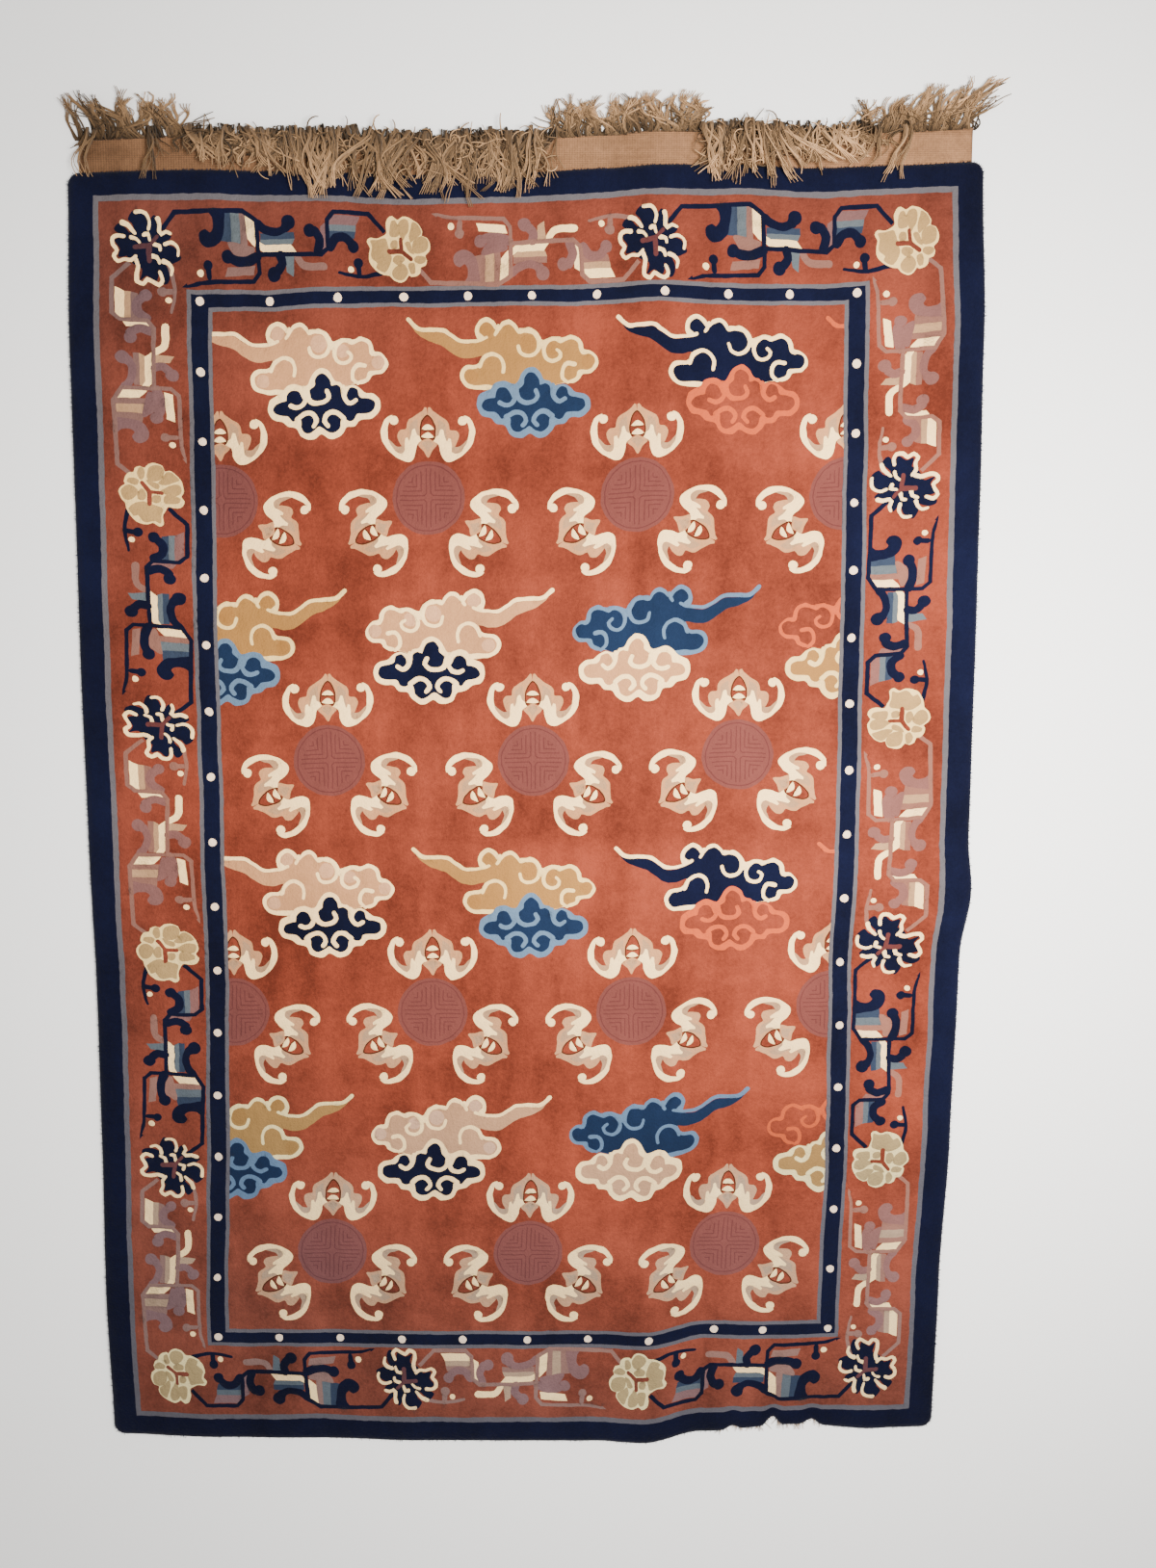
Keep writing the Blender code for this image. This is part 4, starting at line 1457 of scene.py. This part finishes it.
def lie_at(x, pitch):
    """How the lock rooted at x lies: as a stray lock of its own, or as the table of the fringe says."""
    for stray in STRAY_LOCKS:
        if abs(stray["x"] - x) <= pitch / 2:
            return stray
    return {column: between(FRINGE_LIE, "x", column, x) for column in ("reach", "lean")}


# Heights of a string, in metres: lying outward, and folded back. The droop sets in at a share of the run
ROOT_INSIDE = 0.002
BOUNCE_ALONG = 0.6
OUTWARD = {"root": 0.0012, "layer": 0.0015, "tip": 0.0060}
FOLD_ARC = 0.9
FOLD_OUTER = 0.6
FOLDED = {
    "over_pile": 0.0018,
    "layer": 0.0030,
    "droop": 0.006,
    "droop_from": 0.7,
    "near_pile": 0.004,
    "clear": 0.0008,
}


def string_path(root, lie, pile_y, lock, string):
    """The way of one string of yarns from the strip's edge to its tip, within its lock."""
    root_x, root_y = root
    reach = abs(lie["reach"]) * string["length"]
    lying = THICKNESS + SWELL + FOLD_CLEARANCE
    path = []
    for step in range(YARN_STEPS + 1):
        share = step / YARN_STEPS
        turn = math.tau * string["turns"] * share + string["phase"]
        wave = string["curl"] * share * math.sin(turn)
        bounce = 0.5 * string["curl"] * share * math.cos(turn)
        x = root_x + string["place"] + wave + lie["lean"] * (reach * share / LEAN_AT) ** 1.5
        x += string["stray"] * share ** 1.6 + string["hook"] * share ** 4
        x += string["wave"] * math.sin(math.pi * lock["waves"] * share)
        if lie["reach"] > 0:
            y = root_y - ROOT_INSIDE + (reach + ROOT_INSIDE) * share + BOUNCE_ALONG * bounce
            rise = OUTWARD["layer"] + OUTWARD["tip"] * share
            z = OUTWARD["root"] + string["layer"] * rise + abs(bounce)
        else:
            turned = min(1.0, share / FOLD_SHARE)
            run = max(0.0, share - FOLD_SHARE) / (1 - FOLD_SHARE)
            outer = FOLD_OUTER + FOLD_OUTER * string["layer"]
            out = lock["out"] * math.sin(math.pi * FOLD_ARC * turned) * outer
            y = root_y + out - ROOT_INSIDE * (1 - turned) - reach * run + BOUNCE_ALONG * bounce
            climb = min(1.0, max(0.0, (root_y - y) / (root_y - pile_y)))
            z = STRIP_THICKNESS / 2 + (FOLD_HEIGHT - STRIP_THICKNESS / 2) * turned
            if run > 0:
                z += (lying - FOLD_HEIGHT + FOLDED["over_pile"]) * climb
            z += (string["layer"] * FOLDED["layer"] + lock["lift"]) * turned
            z += lock["arch"] * math.sin(math.pi * run) + 0.5 * abs(bounce)
            z -= FOLDED["droop"] * string["layer"] * max(0.0, run - FOLDED["droop_from"])
            if run > 0 and y < pile_y + FOLDED["near_pile"]:
                z = max(z, lying + FOLDED["clear"])
        path.append((min(x, FRINGE_LIMIT + OVER_LIMIT * (x - FRINGE_LIMIT)), y, z))
    return path


def string_yarns(path, string, count):
    """The yarns matted into one string: twisted round it or side by side, and forked at its tip."""
    for i in range(count):
        yarn = []
        for step, (x, y, z) in enumerate(path):
            share = step / YARN_STEPS
            fork = max(0.0, share - FORK_FROM) / (1 - FORK_FROM)
            if string["flat"]:
                beside = i - (count - 1) / 2
                width = 1 - FLAT_SWAY + FLAT_SWAY * math.cos(string["twist"] * share * math.tau)
                slide = beside * YARN_PITCH * width
                yarn.append((x + slide + beside * string["fork"] * fork, y, z + FLAT_LAP * i))
            else:
                turn = math.tau * (i / count + string["twist"] * share)
                reach = STRING_RADIUS + string["fork"] * fork
                yarn.append((x + reach * math.cos(turn), y, z + STRING_RADIUS * (1 + math.sin(turn))))
        yield yarn


TAME_LOCK, WILD_LOCK = table(
    "stray wave shortest longest",
    (0.013, 0.007, 0.78, 1.12),
    (0.030, 0.012, 0.60, 1.12),
)
STRAY_MOST = 0.038


def new_lock(pitch, chance):
    """The character of one lock: how long, curly, spread and stray it is."""
    kind = TAME_LOCK
    length = chance.uniform(kind["shortest"], kind["longest"])
    if chance.random() < WILD_SHARE:
        kind = WILD_LOCK
        length = chance.uniform(kind["shortest"], kind["longest"])
    return {
        "length": length,
        "curl": chance.uniform(0.0012, 0.0045),
        "spread": pitch * chance.uniform(0.5, 0.9),
        "wave": chance.uniform(-kind["wave"], kind["wave"]),
        "waves": chance.uniform(1.0, 2.8),
        "stray": max(-STRAY_MOST, min(STRAY_MOST, chance.gauss(0, kind["stray"]))),
        "arch": chance.uniform(0.0, 0.0060),
        "lift": chance.uniform(0.0, 0.0036),
        "out": FOLD_OUT * chance.uniform(0.6, 2.1),
        "tone": chance.uniform(0.15, 0.85),
    }


def new_string(lock, chance):
    """The character of one string in its lock."""
    hooked = chance.random() < HOOKED_SHARE
    return {
        "place": lock["spread"] * chance.uniform(-1, 1),
        "length": lock["length"] * chance.uniform(0.76, 1.06),
        "layer": chance.uniform(0, 1),
        "curl": lock["curl"] * chance.uniform(0.5, 1.4),
        "turns": chance.uniform(0.7, 2.2),
        "phase": chance.uniform(0, math.tau),
        "stray": lock["stray"] + chance.gauss(0, 0.008),
        "hook": chance.uniform(-0.020, 0.020) if hooked else 0.0,
        "wave": lock["wave"] + chance.gauss(0, 0.0035),
        "flat": chance.random() < FLAT_SHARE,
        "twist": chance.uniform(-1.8, 1.8),
        "fork": chance.uniform(0.0006, 0.0034),
        "tone": within(0.0, 1.0, lock["tone"] + chance.uniform(-0.25, 0.25)),
    }


def within(low, high, value):
    """The value, held between low and high."""
    return min(high, max(low, value))


UNDER_RADIUS = {"root": 0.0011, "tip": 0.0006}


def make_fringe(pile_edge):
    """Warp ends in tousled locks: some spread outward, most flipped back over the strip and the pile."""
    chance = random.Random(FRINGE_SEED)
    left, right = strip_ends(pile_edge)
    pitch = (right - left) / LOCKS
    yarns = Yarns()
    for i in range(LOCKS):
        middle = left + pitch * (i + 0.5)
        pile_y = level_at(pile_edge, middle)
        root = middle, pile_y + GAP + STRIP_DEPTH
        lie = lie_at(middle, pitch)
        lock = new_lock(pitch, chance)
        more = MORE_OUTWARD if lie["reach"] > 0 else 0
        for _ in range(chance.randint(STRINGS_LEAST, STRINGS_MOST) + more):
            string = new_string(lock, chance)
            path = string_path(root, lie, pile_y, lock, string)
            for yarn in string_yarns(path, string, chance.randint(YARNS_LEAST, YARNS_MOST)):
                tone = within(0.0, 1.0, string["tone"] + chance.uniform(-0.10, 0.10))
                thick = chance.uniform(0.0008, 0.0013)
                # Painted shade at the root, a fifth of the yarn's tone, and a painted highlight at the tip
                tip_highlight_tone = min(1.0, tone * 0.75 + chance.uniform(0.0, 0.36))
                yarns.add(yarn, thick, thick * 0.5, (tone * 0.2, tip_highlight_tone))
        under = new_lock(pitch, chance)
        under["arch"] = 0.0
        for _ in range(UNDER_YARNS):
            string = new_string(under, chance)
            short = {"reach": lie["reach"] * chance.uniform(0.4, 0.8), "lean": lie["lean"]}
            path = string_path(root, short, pile_y, under, string)
            # Under-yarns: painted shade, black at the root and dim at the tip
            tones = (0.0, chance.uniform(0.1, 0.45))
            yarns.add(path, UNDER_RADIUS["root"], UNDER_RADIUS["tip"], tones)
    piece = yarns.make("fringe", fringe_cotton("cotton_fringe", FRINGE_COLOUR))
    return dress(piece, "kilim_fringe")


def make_tangle(pile_edge):
    """Loose curled yarns matted over the strip wherever the fringe is flipped back."""
    chance = random.Random(TANGLE_SEED)
    yarns = Yarns()
    left, right = strip_ends(pile_edge)
    while len(yarns.verts) < TANGLE_YARNS * 3 * (TANGLE_STEPS + 1):
        x = chance.uniform(left + TANGLE_INSET, right - TANGLE_INSET)
        reach = between(FRINGE_LIE, "x", "reach", x)
        if reach > 0 or chance.random() > abs(reach) / TANGLE_FULL_REACH:
            continue
        deep = min(abs(reach) * 0.8, STRIP_DEPTH + TANGLE_PAST)
        y = level_at(pile_edge, x) + GAP + STRIP_DEPTH + TANGLE_PAST - deep * chance.random()
        heading = chance.uniform(0, math.tau)
        turn = chance.uniform(-1, 1) * TANGLE_BEND
        length = chance.uniform(0.012, 0.034)
        on_strip = y - level_at(pile_edge, x) > TANGLE_OFF_PILE
        z = TANGLE_HEIGHT["on_strip" if on_strip else "on_pile"] + chance.uniform(0.0, 0.0080)
        path = []
        for step in range(TANGLE_STEPS + 1):
            share = step / TANGLE_STEPS
            path.append((x, y, z + TANGLE_ARCH * math.sin(math.pi * share)))
            x += math.cos(heading) * length / TANGLE_STEPS
            y += math.sin(heading) * length / TANGLE_STEPS
            heading += turn / TANGLE_STEPS
        thick = chance.uniform(0.0008, 0.0015)
        tone = chance.uniform(0.0, 0.9)
        # Painted shade at the root and a painted highlight at the tip
        yarns.add(path, thick, thick * 0.6, (tone * 0.5, min(1.0, tone + 0.15)))
    piece = yarns.make("fringe_tangle", fringe_cotton("cotton_tangle", FRINGE_COLOUR))
    return dress(piece, "kilim_fringe")


def make_edge_fuzz():
    """Short fibres of navy wool that stand out all round the pile's edge."""
    chance = random.Random(FUZZ_SEED)
    fuzz = Yarns()
    ring = rim_points(RIM_WITHIN, FUZZ_SPACING)
    for i, (x, y) in enumerate(ring):
        before, after = ring[i - 1], ring[(i + 1) % len(ring)]
        here = Vector(on_rug(x, y))
        along = (Vector(on_rug(*after)) - Vector(on_rug(*before))).normalized()
        out = Vector((along.y, -along.x))
        for _ in range(FUZZ_TUFTS):
            slide = chance.uniform(-0.5, 0.5) * FUZZ_SPACING * MM
            height = chance.uniform(0.0015, 0.0075)
            length = chance.uniform(0.0008, 0.0034)
            lean = chance.uniform(-0.6, 0.6)
            root = here + along * slide - out * FUZZ_INSIDE
            tip = here + along * (slide + lean * length) + out * length
            rise = chance.uniform(-0.0010, 0.0012)
            middle = (root + tip) / 2
            path = [(*root, height), (*middle, height + rise * 0.7), (*tip, height + rise)]
            fuzz.add(path, FUZZ_RADIUS["root"], FUZZ_RADIUS["tip"], (0.5, 0.5))
    piece = fuzz.make("edge_fuzz", wool("fuzz", FUZZ_COLOUR, FUZZ_DRIFT))
    return dress(piece, "carpet")


def make_worn_tufts():
    """Where the plain end is worn back: the tan ends of its warps."""
    chance = random.Random(WORN_SEED)
    ends = Yarns()
    for _ in range(WORN_TUFTS):
        x = chance.uniform(WORN_FROM, WORN_TO)
        here = Vector(on_rug(x, -HALF_LENGTH))
        length = chance.uniform(0.003, 0.012)
        lean = chance.gauss(0, 0.5)
        root = here + Vector((0.0, WORN_ROOT))
        path = []
        for step in range(WORN_STEPS + 1):
            share = step / WORN_STEPS
            x = root.x + lean * length * share + WORN_CURL * math.sin(share * 5 + lean * 9)
            path.append((x, root.y - (length + WORN_ROOT) * share, 0.0015 + 0.003 * share))
        # Painted shade at the root and a painted highlight at the tip
        ends.add(path, WORN_RADIUS["root"], WORN_RADIUS["tip"], (0.3, chance.uniform(0.4, 1.0)))
    piece = ends.make("worn_warp_ends", fringe_cotton("cotton_worn", WORN_COLOUR))
    return dress(piece, "carpet")


# Floor, light and camera
def make_floor():
    """A plain pale floor, a hair below the rug."""
    verts = [(x * FLOOR_REACH, y * FLOOR_REACH, 0.0) for x, y in ((-1, -1), (1, -1), (1, 1), (-1, 1))]
    floor = add_object("floor", verts, [(0, 1, 2, 3)], [])
    material = bpy.data.materials.new("floor_paint")
    material.use_nodes = True
    shader = material.node_tree.nodes["Principled BSDF"]
    shader.inputs["Base Color"].default_value = FLOOR_COLOUR
    shader.inputs["Roughness"].default_value = FLOOR_ROUGHNESS
    floor.data.materials.append(material)
    floor.location.z = -FLOOR_DROP


def light_room():
    """An even pale room, a window's light from the right and a weak fill from the left."""
    world = bpy.data.worlds.new("room")
    world.use_nodes = True
    background = world.node_tree.nodes["Background"]
    background.inputs["Color"].default_value = WORLD_COLOUR
    background.inputs["Strength"].default_value = WORLD_STRENGTH
    bpy.context.scene.world = world
    for light in LIGHTS:
        lamp = bpy.data.lights.new(light["name"], "AREA")
        lamp.shape = "DISK"
        lamp.size = light["size"]
        lamp.energy = light["power"]
        lamp.color = light["colour"]
        lamp.spread = math.radians(light["spread"])
        holder = bpy.data.objects.new(light["name"], lamp)
        holder.location = light["place"]
        aim = Vector(light["aim"]) - Vector(light["place"])
        holder.rotation_euler = aim.to_track_quat("-Z", "Y").to_euler()
        bpy.context.collection.objects.link(holder)


def place_camera():
    """The photographer's eye: above the rug, leaning a little towards its near end."""
    look = Vector(CAMERA_LOOK).normalized()
    right = look.cross(Vector(CAMERA_UP)).normalized()
    up = right.cross(look)
    lens = bpy.data.cameras.new("photographer")
    lens.sensor_width = SENSOR
    lens.sensor_fit = "AUTO"
    lens.lens = SENSOR * FOCAL_PIXELS / PHOTO_HEIGHT
    holder = bpy.data.objects.new("photographer", lens)
    turned = Matrix((right, up, -look)).transposed()
    holder.matrix_world = Matrix.Translation(Vector(CAMERA_PLACE)) @ turned.to_4x4()
    bpy.context.collection.objects.link(holder)
    bpy.context.scene.camera = holder


EDGE_STEPS = 400


def main():
    noise.seed_set(SWAY_SEED)
    place_camera()
    light_room()
    make_floor()
    pile = make_pile()
    foundation = make_foundation()
    steps = range(EDGE_STEPS + 1)
    pile_edge = [on_rug(-HALF_WIDTH + 2 * HALF_WIDTH * i / EDGE_STEPS, HALF_LENGTH) for i in steps]
    strip = make_strip(pile_edge)
    fringe = make_fringe(pile_edge)
    tangle = make_tangle(pile_edge)
    fuzz = make_edge_fuzz()
    worn = make_worn_tufts()


main()
